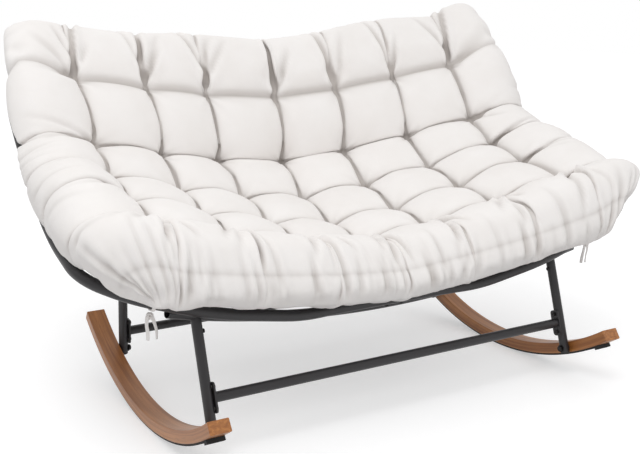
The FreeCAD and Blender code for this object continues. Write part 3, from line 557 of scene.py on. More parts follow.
@dataclass
class Studio:
    """Plain floor with a painted shadow in its glow, soft light and the camera of the photograph.
    """

    eye: Point = (-1.1543, -1.8723, 0.8870)
    yaw: float = 30.08
    pitch: float = 12.91
    lens: float = 52.64
    sensor: float = 36.0
    aim: Point = (0, 0, 0.4)
    floor_side: float = 30.0
    floor_tone: tuple[float, ...] = (0.64, 0.64, 0.645, 1)
    # painted shadow: the camera-seen floor glow is weakest near this middle and rises over this
    # reach, so the floor is darker round the chair
    painted_shadow_middle: Point = (0.1, 0.3, 0)
    glow_levels_with_painted_shadow: Span = (0.39, 0.57)
    painted_shadow_reach: Span = (0.3, 1.35)
    sky_level: float = 0.78
    lamps: tuple = (
        ("key_lamp", (-1.5, -1.7, 3.6), 1.8, 42.0),
        ("fill_lamp", (2.8, -3.0, 2.2), 2.6, 6.0),
        ("back_lamp", (0.6, 2.8, 3.2), 2.4, 8.0),
    )

    def build(self) -> None:
        """Set the view, then make camera, floor, sky and lamps."""
        bpy.context.scene.view_settings.view_transform = "Standard"
        self._camera()
        self._floor()
        self._sky()
        for name, place, side, power in self.lamps:
            self._lamp(name, place, side, power)

    def _camera(self) -> None:
        """Put the camera where the photograph was taken from."""
        data = bpy.data.cameras.new("photo_camera")
        data.lens = self.lens
        data.sensor_width = self.sensor
        camera = link("photo_camera", data)
        camera.location = self.eye
        camera.rotation_euler = (math.radians(90 - self.pitch), 0, math.radians(-self.yaw))
        bpy.context.scene.camera = camera

    def _floor(self) -> None:
        """Lay a pale floor that keeps the shadow and looks white to the camera elsewhere; its glow,
        which only the camera sees, is weaker near the chair, a painted shadow.
        """
        calm_selection()
        bpy.ops.mesh.primitive_plane_add(size=self.floor_side, location=(0, 0, 0))
        floor = bpy.context.object
        floor.name = "studio_floor"
        material = bpy.data.materials.new("studio_floor")
        material.use_nodes = True
        material.node_tree.nodes.clear()
        bench = NodeBench(material.node_tree)
        matt = bench.add("BsdfDiffuse", {"Color": self.floor_tone})
        # painted shadow: the glow rises with the distance from the middle, so the floor looks
        # darker round the chair
        ends = {0: bench.here(), 1: self.painted_shadow_middle}
        far = bench.add("VectorMath", ends, operation="DISTANCE").outputs["Value"]
        level = bench.remap(far, *self.glow_levels_with_painted_shadow, *self.painted_shadow_reach)
        glow = bench.add("Emission", {"Strength": self._seen(bench, level)})
        both = bench.add("AddShader", {0: matt.outputs[0], 1: glow.outputs[0]})
        bench.add("OutputMaterial", {"Surface": both.outputs[0]})
        floor.data.materials.append(material)

    @staticmethod
    def _seen(bench: NodeBench, strength: object) -> NodeSocket:
        """Give a strength that only the camera, mirrors and glass see."""
        path = bench.add("LightPath").outputs
        seen = bench.math("MAXIMUM", path["Is Camera Ray"], path["Is Glossy Ray"])
        seen = bench.math("MAXIMUM", seen, path["Is Transmission Ray"])
        return bench.math("MULTIPLY", seen, strength)

    def _sky(self) -> None:
        """Light from all round, which the camera sees as white."""
        world = bpy.data.worlds.new("studio_sky")
        world.use_nodes = True
        bpy.context.scene.world = world
        world.node_tree.nodes.clear()
        bench = NodeBench(world.node_tree)
        seen = bench.add("LightPath").outputs["Is Camera Ray"]
        level = bench.remap(seen, self.sky_level, 1.0)
        sky = bench.add("Background", {"Color": (1, 1, 1, 1), "Strength": level})
        bench.add("OutputWorld", {"Surface": sky.outputs[0]})

    def _lamp(self, name: str, place: Point, side: float, power: float) -> None:
        """Hang one square soft lamp that faces the seat."""
        data = bpy.data.lights.new(name, "AREA")
        data.size = side
        data.energy = power
        lamp = link(name, data)
        lamp.location = place
        aim = Vector(self.aim) - Vector(place)
        lamp.rotation_euler = aim.to_track_quat("-Z", "Y").to_euler()


@dataclass
class SteelAndWood:
    """The nodes that keep their CAD shape, each with its finish."""

    shelf: EffectShelf
    coat: PowderCoat = PowderCoat()
    blackened: BareMetal = BareMetal(
        "blackened_steel", linear(62, 60, 60), linear(34, 33, 34), (0.34, 0.48)
    )
    plated: BareMetal = BareMetal()
    wood: StainedWood = StainedWood()
    rubber: MouldedPolymer = MouldedPolymer()
    plastic: MouldedPolymer = MouldedPolymer(
        "cap_plastic", linear(30, 30, 31), linear(46, 46, 46), (0.44, 0.6), 1400.0
    )

    def finish_of(self, node: str) -> Finish | None:
        """Choose a node's finish by its name, or none for a node that cloth replaces."""
        table = {
            ("rim_left", "rim_right", "seat_", "leg_front", "leg_rear", "stretcher_"): self.coat,
            ("rim_joint_screws", "leg_spigot_screws", "leg_bolts", "leg_washers"): self.blackened,
            ("flange_bolts",): self.blackened,
            ("rim_sleeves", "leg_spigots", "wood_inserts", "rivet_nuts"): self.plated,
            ("rocker_",): self.wood,
            ("tread_", "stop_"): self.rubber,
            ("leg_caps",): self.plastic,
        }
        for starts, finish in table.items():
            if node.startswith(starts):
                return finish
        return None

    def dress(self) -> None:
        """Give every hard node its finish."""
        for name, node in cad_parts.items():
            finish = self.finish_of(name)
            if finish:
                node.data.materials.clear()
                node.data.materials.append(finish.material(self.shelf))
                LOG.info("%s gets %s", name, finish.name)


class End(Enum):
    """The front or back tie of a side."""

    FRONT = "front"
    BACK = "back"


@dataclass
class Tie:
    """One cloth tie: a strap wound round the rim, its knot, and two tails that hang from it."""

    end: End
    side: str
    width: float = 0.0072
    thickness: float = 0.003
    spread: float = 0.0042
    tail_length: float = 0.0505
    tail_twist: float = 0.9
    loop_radius: float = 0.0151
    loop_skew: float = 0.003
    loop_gap: float = 0.12
    loop_points: int = 18
    knot_reach: float = 0.0042
    knot_depth: float = 0.0022
    knot_twist: float = 0.6
    knot_points: int = 22
    ring: int = 16
    flat_power: float = 0.6
    deep_power: float = 0.8
    ripple: float = 0.06
    map_step: float = 0.0012
    outer_route: tuple[Point, ...] = (
        (0, 0, 0),
        (-0.003, 0.001, -0.016),
        (0.001, 0.003, -0.034),
        (0, 0.004, -0.050),
    )
    inner_route: tuple[Point, ...] = (
        (0, 0, 0),
        (0.005, -0.002, -0.016),
        (0.009, -0.001, -0.033),
        (0.009, 0.001, -0.049),
    )

    @property
    def name(self) -> str:
        """The tie's place, as its nodes have it."""
        return f"{self.end.value}_{self.side}"

    def build(self, shelf: EffectShelf, cloth: WovenCloth) -> None:
        """Args:
            shelf: Shared effects.
            cloth: Finish of the strap.
        """
        low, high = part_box(f"tie_knot_{self.name}")
        middle = (low + high) / 2
        hand = 1 if middle.x > 0 else -1
        material = cloth.material(shelf)
        for tail, route, sign in (("outer", self.outer_route, 1), ("inner", self.inner_route, -1)):
            start = middle + Vector((hand * sign * self.spread, 0, 0))
            line = self.smooth_line([start + Vector((-hand * x, y, z)) for x, y, z in route])
            facing = np.tile((0.0, 1.0, 0.0), (len(line), 1))
            node = f"tie_tail_{tail}_{self.name}"
            strap = self.strap(f"cloth_{node}", line, self.tail_twist * hand * sign, facing)
            self.declare(strap, node, material)
            LOG.info("%s hangs from its knot", strap.name)
        self.declare(self.wound_loop(middle), f"tie_loop_{self.name}", material)
        self.declare(self.knot(middle), f"tie_knot_{self.name}", material)

    @staticmethod
    def declare(piece: Object, node: str, material: Material) -> None:
        """Dress a piece of the tie and let it stand for its node."""
        piece.data.materials.append(material)
        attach(piece, BODY)
        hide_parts(node)
        LOG.info("%s stands for %s", piece.name, node)

    def wound_loop(self, knot_middle: Vector) -> Object:
        """Wind the strap once round the rim, from the knot and back to it.

        Args:
            knot_middle: Middle of the tie's knot.

        Returns:
            The loop.
        """
        ring = positions(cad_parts[f"tie_loop_{self.name}"].data)
        middle = (ring.min(axis=0) + ring.max(axis=0)) / 2
        axis = np.linalg.svd(ring - ring.mean(axis=0), full_matrices=False)[2][2]
        down = np.array(knot_middle) - middle
        down -= axis * (down @ axis)
        down /= np.linalg.norm(down)
        aside = np.cross(axis, down)
        points = []
        for turn in np.linspace(self.loop_gap, 2 * math.pi - self.loop_gap, self.loop_points):
            share = turn / (2 * math.pi) - 0.5
            out = down * math.cos(turn) + aside * math.sin(turn)
            points.append(Vector(middle + out * self.loop_radius + axis * share * self.loop_skew))
        line = self.smooth_line(points)
        facing = line - middle
        facing -= np.outer(facing @ axis, axis)
        return self.strap(f"cloth_tie_loop_{self.name}", line, 0.0, facing)

    def knot(self, middle: Vector) -> Object:
        """Tie the strap into one overhand knot.

        Args:
            middle: Middle of the knot.

        Returns:
            The knot.
        """
        points = []
        for turn in np.linspace(0, 2 * math.pi, self.knot_points):
            reach = self.knot_reach * (1.0 + 0.5 * math.cos(3 * turn))
            x, z = math.cos(2 * turn) * reach, math.sin(2 * turn) * reach
            points.append(middle + Vector((x, math.sin(3 * turn) * self.knot_depth, z)))
        line = self.smooth_line(points)
        facing = line - np.array(middle) + np.array((0, self.thickness, 0))
        return self.strap(f"cloth_tie_knot_{self.name}", line, self.knot_twist, facing)

    @staticmethod
    def smooth_line(points: list[Vector]) -> Array:
        """Read the points of a smooth open line along a route.

        Args:
            points: Control points of the route.

        Returns:
            The line's points, one row each.
        """
        data = bpy.data.curves.new("route", "CURVE")
        data.dimensions = "3D"
        data.resolution_u = 12
        spline = data.splines.new("NURBS")
        spline.points.add(len(points) - 1)
        for control, point in zip(spline.points, points):
            control.co = (*point, 1)
        spline.order_u = 3
        spline.use_endpoint_u = True
        route = link("route", data)
        bpy.context.view_layer.update()
        mesh = bpy.data.meshes.new_from_object(route)
        line = positions(mesh)
        bpy.data.objects.remove(route)
        bpy.data.meshes.remove(mesh)
        bpy.data.curves.remove(data)
        return line

    def strap(
        self, name: str, line: Array, twist: float, facing: Array
    ) -> Object:
        """Lay a flat rounded strap along a line.

        Args:
            name: Name of the piece.
            line: Points of the line.
            twist: How far the strap turns about the line over its length, in radians.
            facing: Direction that the strap's flat side faces, for each point of the line.

        Returns:
            The strap.
        """
        along = np.gradient(line, axis=0)
        along /= np.linalg.norm(along, axis=1, keepdims=True)
        turn = np.linspace(0, 2 * math.pi, self.ring, endpoint=False)
        flat = np.sign(np.cos(turn)) * np.abs(np.cos(turn)) ** self.flat_power * self.width / 2
        deep = np.sign(np.sin(turn)) * np.abs(np.sin(turn)) ** self.deep_power
        deep = deep * self.thickness / 2
        rows = []
        for number, (point, ahead, outside) in enumerate(zip(line, along, facing)):
            share = number / (len(line) - 1)
            across = np.cross(ahead, outside)
            across /= np.linalg.norm(across)
            out = np.cross(across, ahead)
            angle = twist * share
            side = across * math.cos(angle) + out * math.sin(angle)
            face = out * math.cos(angle) - across * math.sin(angle)
            ripple = 1 + self.ripple * math.sin(9 * share + 1)
            rows.append(point + np.outer(flat * ripple, side) + np.outer(deep, face))
        points = np.concatenate([*rows, line[:1], line[-1:]])
        here = np.arange(len(line) * self.ring).reshape(-1, self.ring)
        beside = np.roll(here, -1, axis=1)
        first, last = here.size, here.size + 1
        sides = np.stack([here[:-1], beside[:-1], beside[1:], here[1:]], axis=-1)
        faces = sides.reshape(-1, 4).tolist()
        for step, following in zip(here.T.tolist(), beside.T.tolist()):
            faces += [(first, following[0], step[0]), (last, step[-1], following[-1])]
        piece = mesh_piece(name, points, faces)
        length = float(np.linalg.norm(np.diff(line, axis=0), axis=1).sum())
        cloth_map = piece.data.uv_layers.new(name=CLOTH_MAP)
        for loop in piece.data.loops:
            row, step = divmod(min(loop.vertex_index, here.size - 1), self.ring)
            cloth_map.data[loop.index].uv = (step * self.map_step, row / len(line) * length)
        # the ties get no painted crease shade
        set_layer(piece.data, PAINTED_SHADE_LAYER, np.zeros(len(points)))
        pick(piece)
        bpy.ops.object.mode_set(mode="EDIT")
        bpy.ops.mesh.select_all(action="SELECT")
        bpy.ops.mesh.normals_make_consistent(inside=False)
        bpy.ops.object.mode_set(mode="OBJECT")
        bpy.ops.object.shade_smooth()
        return piece


FILLING = {
    "quality": 6,
    "mass": 0.3,
    "air_damping": 3.0,
    "tension_stiffness": 18.0,
    "compression_stiffness": 12.0,
    "shear_stiffness": 6.0,
    "bending_stiffness": 0.35,
    "use_pressure": True,
    "uniform_pressure_force": 4.0,
    "shrink_min": -0.05,
    "vertex_group_mass": "sewn",
    "pin_stiffness": 1.0,
}


@dataclass(frozen=True)
class CushionRow:
    """Cross-section of the cushion at one place from back to front.

    It leans by so many degrees from its middle at y and z. Rise is how far the outer tufts are up,
    crest and under are the border's top and bottom, depth is the filling and reach the half width.
    """

    place: float
    y: float
    z: float
    lean: float
    rise: float
    crest: float
    under: float
    depth: float
    reach: float


@dataclass(frozen=True)
class Swell:
    """One uneven spot of the filling: its place, its widths, and how it moves both sheets."""

    across: float
    along: float
    wide: float
    long: float
    move: Point


class FoldKind(Enum):
    """Kinds of wrinkle, with the spans of their depth and of their width in metres."""

    FAN = ((0.005, 0.012), (0.005, 0.009))
    PLEAT = ((0.010, 0.016), (0.005, 0.008))
    SIDE_FAN = ((0.002, 0.006), (0.006, 0.012))
    FRONT_GATHER = ((0.003, 0.009), (0.005, 0.010))
    BACK_GATHER = ((0.002, 0.005), (0.006, 0.011))
    SIDE_GATHER = ((0.001, 0.0035), (0.006, 0.011))


@dataclass(frozen=True)
class Fold:
    """One wrinkle: where it starts and ends on the cover, its depth and its width, in metres."""

    start: Span
    end: Span
    depth: float
    width: float


@dataclass
class Cushion:
    """The tufted cushion: two sheets of cloth sewn round the edge and tied together at the tufts.

    A point of the cover has a place across, where tufts are at -3 to 3 and the side seams at -4 and
    4, and a place along, from the back seam at 0 over the tufts at 1 to 5 to the front seam at 6.
    """

    shelf: EffectShelf
    cloth: WovenCloth = WovenCloth()
    pitch: float = 0.183
    run: float = 0.172
    slack: float = 1.05
    rows: tuple[CushionRow, ...] = (
        CushionRow(0.0, 0.488, 0.750, 75, 0.050, 0.068, 0.040, 0.014, 0.668),
        CushionRow(0.5, 0.450, 0.800, 62, 0.052, 0.086, 0.030, 0.056, 0.684),
        CushionRow(1.0, 0.372, 0.661, 56, 0.079, 0.138, 0.066, 0.112, 0.706),
        CushionRow(2.0, 0.336, 0.489, 39, 0.151, 0.208, 0.158, 0.092, 0.713),
        CushionRow(3.0, 0.217, 0.398, 50, 0.157, 0.228, 0.140, 0.098, 0.711),
        CushionRow(4.0, 0.072, 0.353, 58, 0.157, 0.232, 0.106, 0.124, 0.705),
        CushionRow(5.0, -0.074, 0.336, 56, 0.152, 0.194, 0.084, 0.118, 0.699),
        CushionRow(5.5, -0.190, 0.344, 66, 0.112, 0.156, 0.066, 0.090, 0.685),
        CushionRow(6.0, -0.268, 0.257, 74, 0.078, 0.090, 0.068, 0.022, 0.611),
    )
    swells: tuple[Swell, ...] = (
        Swell(3.7, 0.35, 0.55, 0.6, (0.018, 0, 0.020)),
        Swell(-3.7, 0.35, 0.55, 0.6, (0.008, 0, -0.026)),
        Swell(2.1, 0.4, 1.1, 0.4, (0, 0, 0.017)),
        Swell(-2.2, 0.4, 1.0, 0.4, (0, 0, -0.010)),
        Swell(3.9, 5.95, 0.45, 0.45, (0, 0.0042, 0.014)),
        Swell(-3.9, 3.2, 0.5, 1.3, (-0.008, 0, 0)),
        Swell(3.9, 5.3, 0.55, 0.6, (0.027, 0, -0.003)),
        Swell(-3.95, 5.6, 0.4, 0.35, (0, 0, -0.019)),
        Swell(4, 0, 0.3, 0.3, (-0.024, -0.030, 0)),
        Swell(-4, 0, 0.3, 0.3, (0.024, -0.030, 0)),
        Swell(4, 6, 0.3, 0.3, (-0.014, 0, 0.020)),
        Swell(-4, 6, 0.3, 0.3, (0.014, 0, 0.020)),
    )
    smile_power: float = 1.5
    crest_share: float = 0.63
    stray_place: float = -1.1
    stray_width: float = 0.55
    stray_shift: float = 0.018
    stray_end: float = 3.0
    side_thinning: float = 0.15
    under_insets: Point = (0.07, 0.026, 0.0065)
    under_sag: float = 0.008
    end_opening: float = 0.3
    puff: float = 0.045
    valley: float = 0.38
    sharpness: float = 0.44
    roll_rise: float = 0.42
    back_roll: float = 0.6
    front_roll: float = 0.5
    side_calm: float = 0.64
    back_calm: float = 0.76
    front_calm: float = 0.55
    back_columns: float = 0.45
    front_columns: float = 0.8
    narrow_lines: float = 0.45
    narrow_from: float = 1.5
    narrow_over: float = 0.7
    seam_width: float = 0.16
    seam_power: float = 0.7
    tuft_gather: float = 0.5
    roll_gather: float = 0.2
    cells_across: int = 18
    cells_along: int = 16
    border_cells: int = 22
    tuft_columns: int = 3
    tuft_rows: int = 5
    line_hold: float = 0.12
    sim_frames: int = 20
    sim_cap: float = 0.018
    front_gathers: int = 84
    back_gathers: int = 34
    side_gathers: int = 26
    fold_limit: float = 0.013
    ridge: float = 0.45
    ridge_place: float = 1.9
    ripple: float = 0.0022
    ripple_reach: float = 0.028
    ripple_start: float = 0.012
    groove: float = 0.007
    groove_width: float = 0.007
    seam_place: float = 5.74
    seam_groove: float = 0.0016
    seam_groove_width: float = 0.0035
    seam_fade: float = 0.12
    row_groove: float = 0.7
    # the tone fields below paint shade into the crease layer: darker cloth along the sewn rows and
    # columns, the seam and the deep folds
    row_shade: float = 0.8
    border_calm: float = 0.4
    column_shade_width: float = 0.022
    row_shade_width: float = 0.025
    seam_shade: float = 0.35
    line_shade: float = 0.7
    deep_fold_shade: float = 0.8
    deep_fold_shade_depth: float = 0.009
    rest_gap: float = 0.002
    rest_reach: float = 0.02
    rest_border: float = 0.7
    rest_rounds: tuple[int, ...] = (5, 2, 0)
    rest_spread: float = 0.8
    core_share: float = 0.7
    bore: float = 0.024
    untangle_rounds: int = 5
    untangle_spread: float = 0.7
    untangle_step: float = 0.6
    seed: int = 7

    @property
    def edge(self) -> int:
        """Place across of the right seam."""
        return self.tuft_columns + 1

    @property
    def last(self) -> int:
        """Place along of the front seam."""
        return self.tuft_rows + 1

    @property
    def columns(self) -> range:
        """Places across of the tufts."""
        return range(-self.tuft_columns, self.tuft_columns + 1)

    def border(self, across: Array) -> Array:
        """How far over the side border a place is, from 0 at the outer tufts to 1 at the seam."""
        return unit(np.abs(across) - self.tuft_columns)

    @staticmethod
    def spread(marks: list[tuple[float, float, int, float]]) -> Array:
        """Places on one axis, closer together near the tufts.

        Args:
            marks: Start, end, number of cells and gathering of each stretch.

        Returns:
            All places, rising.
        """
        places = []
        for start, end, cells, gather in marks:
            u = np.linspace(0, 1, cells, endpoint=False)
            gathered = u - gather * np.sin(2 * math.pi * u) / (2 * math.pi)
            places.append(start + (end - start) * gathered)
        return np.concatenate([*places, [marks[-1][1]]])

    def grid(self) -> tuple[Array, Array]:
        """Lay out one sheet.

        Returns:
            Places across and along of its points.
        """
        across = [(-self.edge, -self.edge + 1, self.border_cells, 0.0)]
        across += [(k, k + 1, self.cells_across, self.tuft_gather) for k in self.columns[:-1]]
        across.append((self.edge - 1, self.edge, self.border_cells, 0.0))
        along = [(0, 1, self.border_cells, self.roll_gather)]
        along += [(k, k + 1, self.cells_along, self.tuft_gather) for k in range(1, self.tuft_rows)]
        along.append((self.tuft_rows, self.last, self.border_cells + 2, self.roll_gather))
        return np.meshgrid(self.spread(across), self.spread(along), indexing="ij")

    def row_field(self, name: str, along: Array) -> Array:
        """One measure of the cross-section, smooth from back to front."""
        values = [np.full_like(along, getattr(row, name)) for row in self.rows]
        return curve_through([row.place for row in self.rows], values, along)

    def lift(self, along: Array, x: Array, height: Array) -> Array:
        """Points of the leaning cross-sections.

        Args:
            along: Place along of each point.
            x: Distance from the middle plane.
            height: Distance up the leaning cross-section.

        Returns:
            Positions, with the coordinates last.
        """
        lean = np.radians(self.row_field("lean", along))
        y = self.row_field("y", along) - height * np.cos(lean)
        z = self.row_field("z", along) + height * np.sin(lean)
        return np.stack([x, y, z], axis=-1)

    def smile(self, along: Array, x: Array) -> Array:
        """How far a row of tufts has risen at a distance from the middle."""
        share = np.abs(x) / (self.tuft_columns * self.pitch)
        return self.row_field("rise", along) * share**self.smile_power

    def sheet(
        self,
        across: Array,
        along: Array,
        flat: tuple[Array, Array],
        border: list[tuple],
    ) -> Array:
        """One sheet that runs through the tufts and then round the border.

        Args:
            across: Places across.
            along: Places along.
            flat: Distance from the middle and height between the outer tufts.
            border: Place, distance from the middle and height of each knot of the border.

        Returns:
            Positions, with the coordinates last.
        """
        out = self.border(across)
        inner = np.abs(across) <= self.tuft_columns
        knots, x_points, z_points = zip(*border)
        x = np.where(inner, flat[0], np.sign(across) * curve_through(knots, x_points, out))
        height = np.where(inner, flat[1], curve_through(knots, z_points, out))
        return self.lift(along, x, height)

    def cover(self, across: Array, along: Array) -> Array:
        """The upper sheet through the tufts and round the border roll, without its puffs.

        Args:
            across: Places across.
            along: Places along.

        Returns:
            Positions, with the coordinates last.
        """
        outer = np.full_like(along, self.tuft_columns * self.pitch)
        reach, crest, under = (self.row_field(name, along) for name in ("reach", "crest", "under"))
        crest_x = outer + (reach - outer) * self.crest_share
        edge_z = (crest + under) / 2
        border = [
            (0, outer, self.smile(along, outer)),
            (0.5, crest_x, crest),
            (0.8, reach - (reach - crest_x) / 4, crest - (edge_z - under) / 4),
            (1, reach, edge_z),
        ]
        stray = bell((across - self.stray_place) / self.stray_width) * unit(self.stray_end - along)
        flat_x = across * self.pitch - self.stray_shift * stray
        return self.sheet(across, along, (flat_x, self.smile(along, flat_x)), border)

    def underside(self, across: Array, along: Array) -> Array:
        """The lower sheet, which joins the upper one at the seams.

        Args:
            across: Places across.
            along: Places along.

        Returns:
            Positions, with the coordinates last.
        """
        outer = np.full_like(along, self.tuft_columns * self.pitch)
        names = ("reach", "crest", "under", "depth")
        reach, crest, under, depth = (self.row_field(name, along) for name in names)
        edge_z = (crest + under) / 2
        low_outer = self.smile(along, outer) - (1 - self.side_thinning) * depth
        border = [
            (0, outer, low_outer),
            (0.45, reach - self.under_insets[0], low_outer * 0.4 + under * 0.6 - self.under_sag),
            (0.7, reach - self.under_insets[1], under),
            (0.85, reach - self.under_insets[2], under + (edge_z - under) / 4),
            (1, reach, edge_z),
        ]
        half = self.tuft_columns / 2
        share = 1 - self.side_thinning * unit((np.abs(across) - half) / half) ** 2
        flat_x = across * self.pitch
        flat = (flat_x, self.smile(along, flat_x) - depth * share)
        low = self.sheet(across, along, flat, border)
        end = np.minimum(along, self.last - along)
        open_share = np.sqrt(unit(end / self.end_opening))[..., None]
        return self.cover(across, along) * (1 - open_share) + low * open_share

    def puffs(self, across: Array, along: Array) -> Array:
        """How far the stuffing lifts the upper sheet between the tufts.

        Args:
            across: Places across.
            along: Places along.

        Returns:
            The lift at each point.
        """

        def hump(place: Array, first: float, last: float) -> Array:
            """Zero at the sewn lines, one between them, and a single rise past the outer ones."""
            past = np.maximum(first - place, place - last)
            inside = np.abs(np.sin(math.pi * place))
            return np.where(past > 0, ease(past / self.roll_rise), inside) ** self.sharpness

        narrow = self.narrow_lines * unit((self.narrow_from - along) / self.narrow_over)
        side = hump(across, -self.tuft_columns, self.tuft_columns) ** (1 - narrow)
        side = 1 - (1 - side) * self.column_share(along)
        length = hump(along, 1, self.tuft_rows)
        height = self.valley * (side + length - side * length) + (1 - self.valley) * side * length
        out, back, front = self.border(across), unit(1 - along), unit(along - self.tuft_rows)
        amount = self.puff * (1 - self.side_calm * ease(out))
        amount *= 1 - self.back_calm * ease(back / self.back_roll)
        amount *= 1 - self.front_calm * front**2
        seam = np.minimum.reduce([1 - out, 1 - back, 1 - front])
        return amount * height * ease(seam / self.seam_width) ** self.seam_power

    def column_share(self, along: Array) -> Array:
        """How much of the sewn lines between the columns is left on the back and front rolls.

        Args:
            along: Places along.

        Returns:
            The share at each point, from 0 to 1.
        """
        back = ease((1 - along) / self.back_roll) ** 2
        front = ease((along - self.tuft_rows) / self.front_roll) ** 2
        return (1 - self.back_columns * back) * (1 - self.front_columns * front)

    def unevenness(self, across: Array, along: Array) -> Array:
        """How uneven filling moves the corners, flanks and rolls, as the photograph shows them.

        Args:
            across: Places across.
            along: Places along.

        Returns:
            The move of each point, with the coordinates last.
        """
        total = np.zeros((*across.shape, 3))
        for swell in self.swells:
            side = ((across - swell.across) / swell.wide) ** 2
            length = ((along - swell.along) / swell.long) ** 2
            total += np.exp(-side - length)[..., None] * np.array(swell.move)
        return total

    def flat_place(self, across: Array | float, along: Array | float) -> Array:
        """Place on the cloth as it lay before it was sewn, in metres."""
        return np.stack([across * self.pitch * self.slack, along * self.run], axis=-1)

    @staticmethod
    def outward(points: Array) -> Array:
        """Unit normals of a sheet that is laid out on a grid."""
        side = np.gradient(points, axis=0)
        length = np.gradient(points, axis=1)
        normal = np.cross(length, side)
        return normal / np.maximum(np.linalg.norm(normal, axis=-1, keepdims=True), 1e-9)

    def build(self) -> Object:
        """Sew, fill, wrinkle, rest and dress the cushion.

        Returns:
            The finished piece.
        """
        piece = self.sew()
        self.fill(piece)
        self.refine(piece)
        self.wrinkle(piece)
        self.untangle(piece)
        self.rest(piece)
        pick(piece)
        bpy.ops.object.shade_smooth()
        piece.data.materials.append(self.cloth.material(self.shelf))
        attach(piece, BODY)
        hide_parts("cushion")
        LOG.info("%s has %d faces", piece.name, len(piece.data.polygons))
        return piece

    def sew(self) -> Object:
        """Make the two sheets, joined at their edge, with their map and their pins.

        Returns:
            The sewn cover.
        """
        across, along = self.grid()
        uneven = self.unevenness(across, along)
        upper = self.cover(across, along)
        upper = upper + self.outward(upper) * self.puffs(across, along)[..., None] + uneven
        lower = self.underside(across, along) + uneven
        wide, long = across.shape
        numbers = np.arange(wide * long).reshape(wide, long)
        inner = np.zeros((wide, long), bool)
        inner[1:-1, 1:-1] = True
        low_numbers = numbers.copy()
        low_numbers[inner] = wide * long + np.arange(inner.sum())
        points = np.concatenate([upper.reshape(-1, 3), lower[inner]])

        def quads(table: Array, flip: bool) -> Array:
            """Faces of one sheet."""
            corners = [table[:-1, :-1], table[:-1, 1:], table[1:, 1:], table[1:, :-1]]
            return np.stack(corners[::-1] if flip else corners, axis=-1).reshape(-1, 4)

        faces = np.concatenate([quads(numbers, False), quads(low_numbers, True)])
        piece = mesh_piece("cloth_cushion", points, faces.tolist())
        mesh = piece.data
        place_across = np.concatenate([across.ravel(), across[inner]])
        place_along = np.concatenate([along.ravel(), along[inner]])
        is_upper = np.concatenate([np.ones(wide * long), np.zeros(int(inner.sum()))])
        for layer, values in zip(PLACES, (place_across, place_along, is_upper)):
            set_layer(mesh, layer, values)
        corner_vertex = read(mesh.loops, "vertex_index", 1, np.int32)[:, 0]
        flat = self.flat_place(place_across, place_along)[corner_vertex]
        cloth_map = mesh.uv_layers.new(name=CLOTH_MAP)
        cloth_map.uv.foreach_set("vector", flat.astype(np.float32).ravel())
        self.pin(piece, place_across, place_along, is_upper > 0.5)
        return piece

    def pin(
        self, piece: Object, across: Array, along: Array, upper: Array
    ) -> None:
        """Weigh how firmly each point is held: tufts and underside fully, sewn lines a little.

        Args:
            piece: The sewn cover.
            across: Places across.
            along: Places along.
            upper: Whether a point is on the upper sheet.
        """
        column = (np.abs(across - np.round(across)) < TINY) & (np.abs(across) < self.edge - 0.5)
        row = (np.abs(along - np.round(along)) < TINY) & (along > 0.5) & (along < self.last - 0.5)
        below = ~upper & (np.abs(across) < self.edge - 0.25)
        below &= (along > 0.25) & (along < self.last - 0.25)
        held = (column & row & upper) | below
        group = piece.vertex_groups.new(name="sewn")
        group.add(np.flatnonzero(held).tolist(), 1.0, "REPLACE")
        lines = (column | row) & upper & ~held
        group.add(np.flatnonzero(lines).tolist(), self.line_hold, "REPLACE")

    def fill(self, piece: Object) -> None:
        """Blow the sewn cover up with cloth simulation, and cap how far a point may move.

        Args:
            piece: The sewn cover.
        """
        before = positions(piece.data)
        pick(piece)
        modifier = piece.modifiers.new("filling", "CLOTH")
        for name, value in FILLING.items():
            setattr(modifier.settings, name, value)
        modifier.settings.effector_weights.gravity = 0.0
        modifier.collision_settings.use_collision = False
        modifier.point_cache.frame_start = 1
        modifier.point_cache.frame_end = self.sim_frames
        scene = bpy.context.scene
        for number in range(1, self.sim_frames + 1):
            scene.frame_set(number)
        bpy.ops.object.modifier_apply(modifier=modifier.name)
        scene.frame_set(1)
        move = positions(piece.data) - before
        far = np.linalg.norm(move, axis=1, keepdims=True)
        cap = np.minimum(1, self.sim_cap / np.maximum(far, 1e-9))
        set_positions(piece.data, before + move * cap)
        LOG.info("filling moved the cover by %.1f mm at most", 1000 * far.max())

    def refine(self, piece: Object) -> None:
        """Divide the cover once more, for folds narrower than the simulated cloth has.

        Args:
            piece: The filled cover.
        """
        pick(piece)
        modifier = piece.modifiers.new("finer", "SUBSURF")
        modifier.levels = 1
        modifier.render_levels = 1
        bpy.ops.object.modifier_apply(modifier=modifier.name)

    def folds(self) -> list[Fold]:
        """Draw up the wrinkles: fans from the outer tufts, and gathers along the seams.

        Returns:
            All wrinkles.
        """
        draw = np.random.default_rng(self.seed)
        found: list[Fold] = []

        def near(place: float, stray: float) -> float:
            """A drawn place not far from another."""
            return place + draw.uniform(-stray, stray)

        def add(kind: FoldKind, start: Span, end: Span) -> None:
            """Keep a wrinkle, and draw its depth and its width."""
            depth, width = kind.value
            found.append(Fold(start, end, draw.uniform(*depth), draw.uniform(*width)))

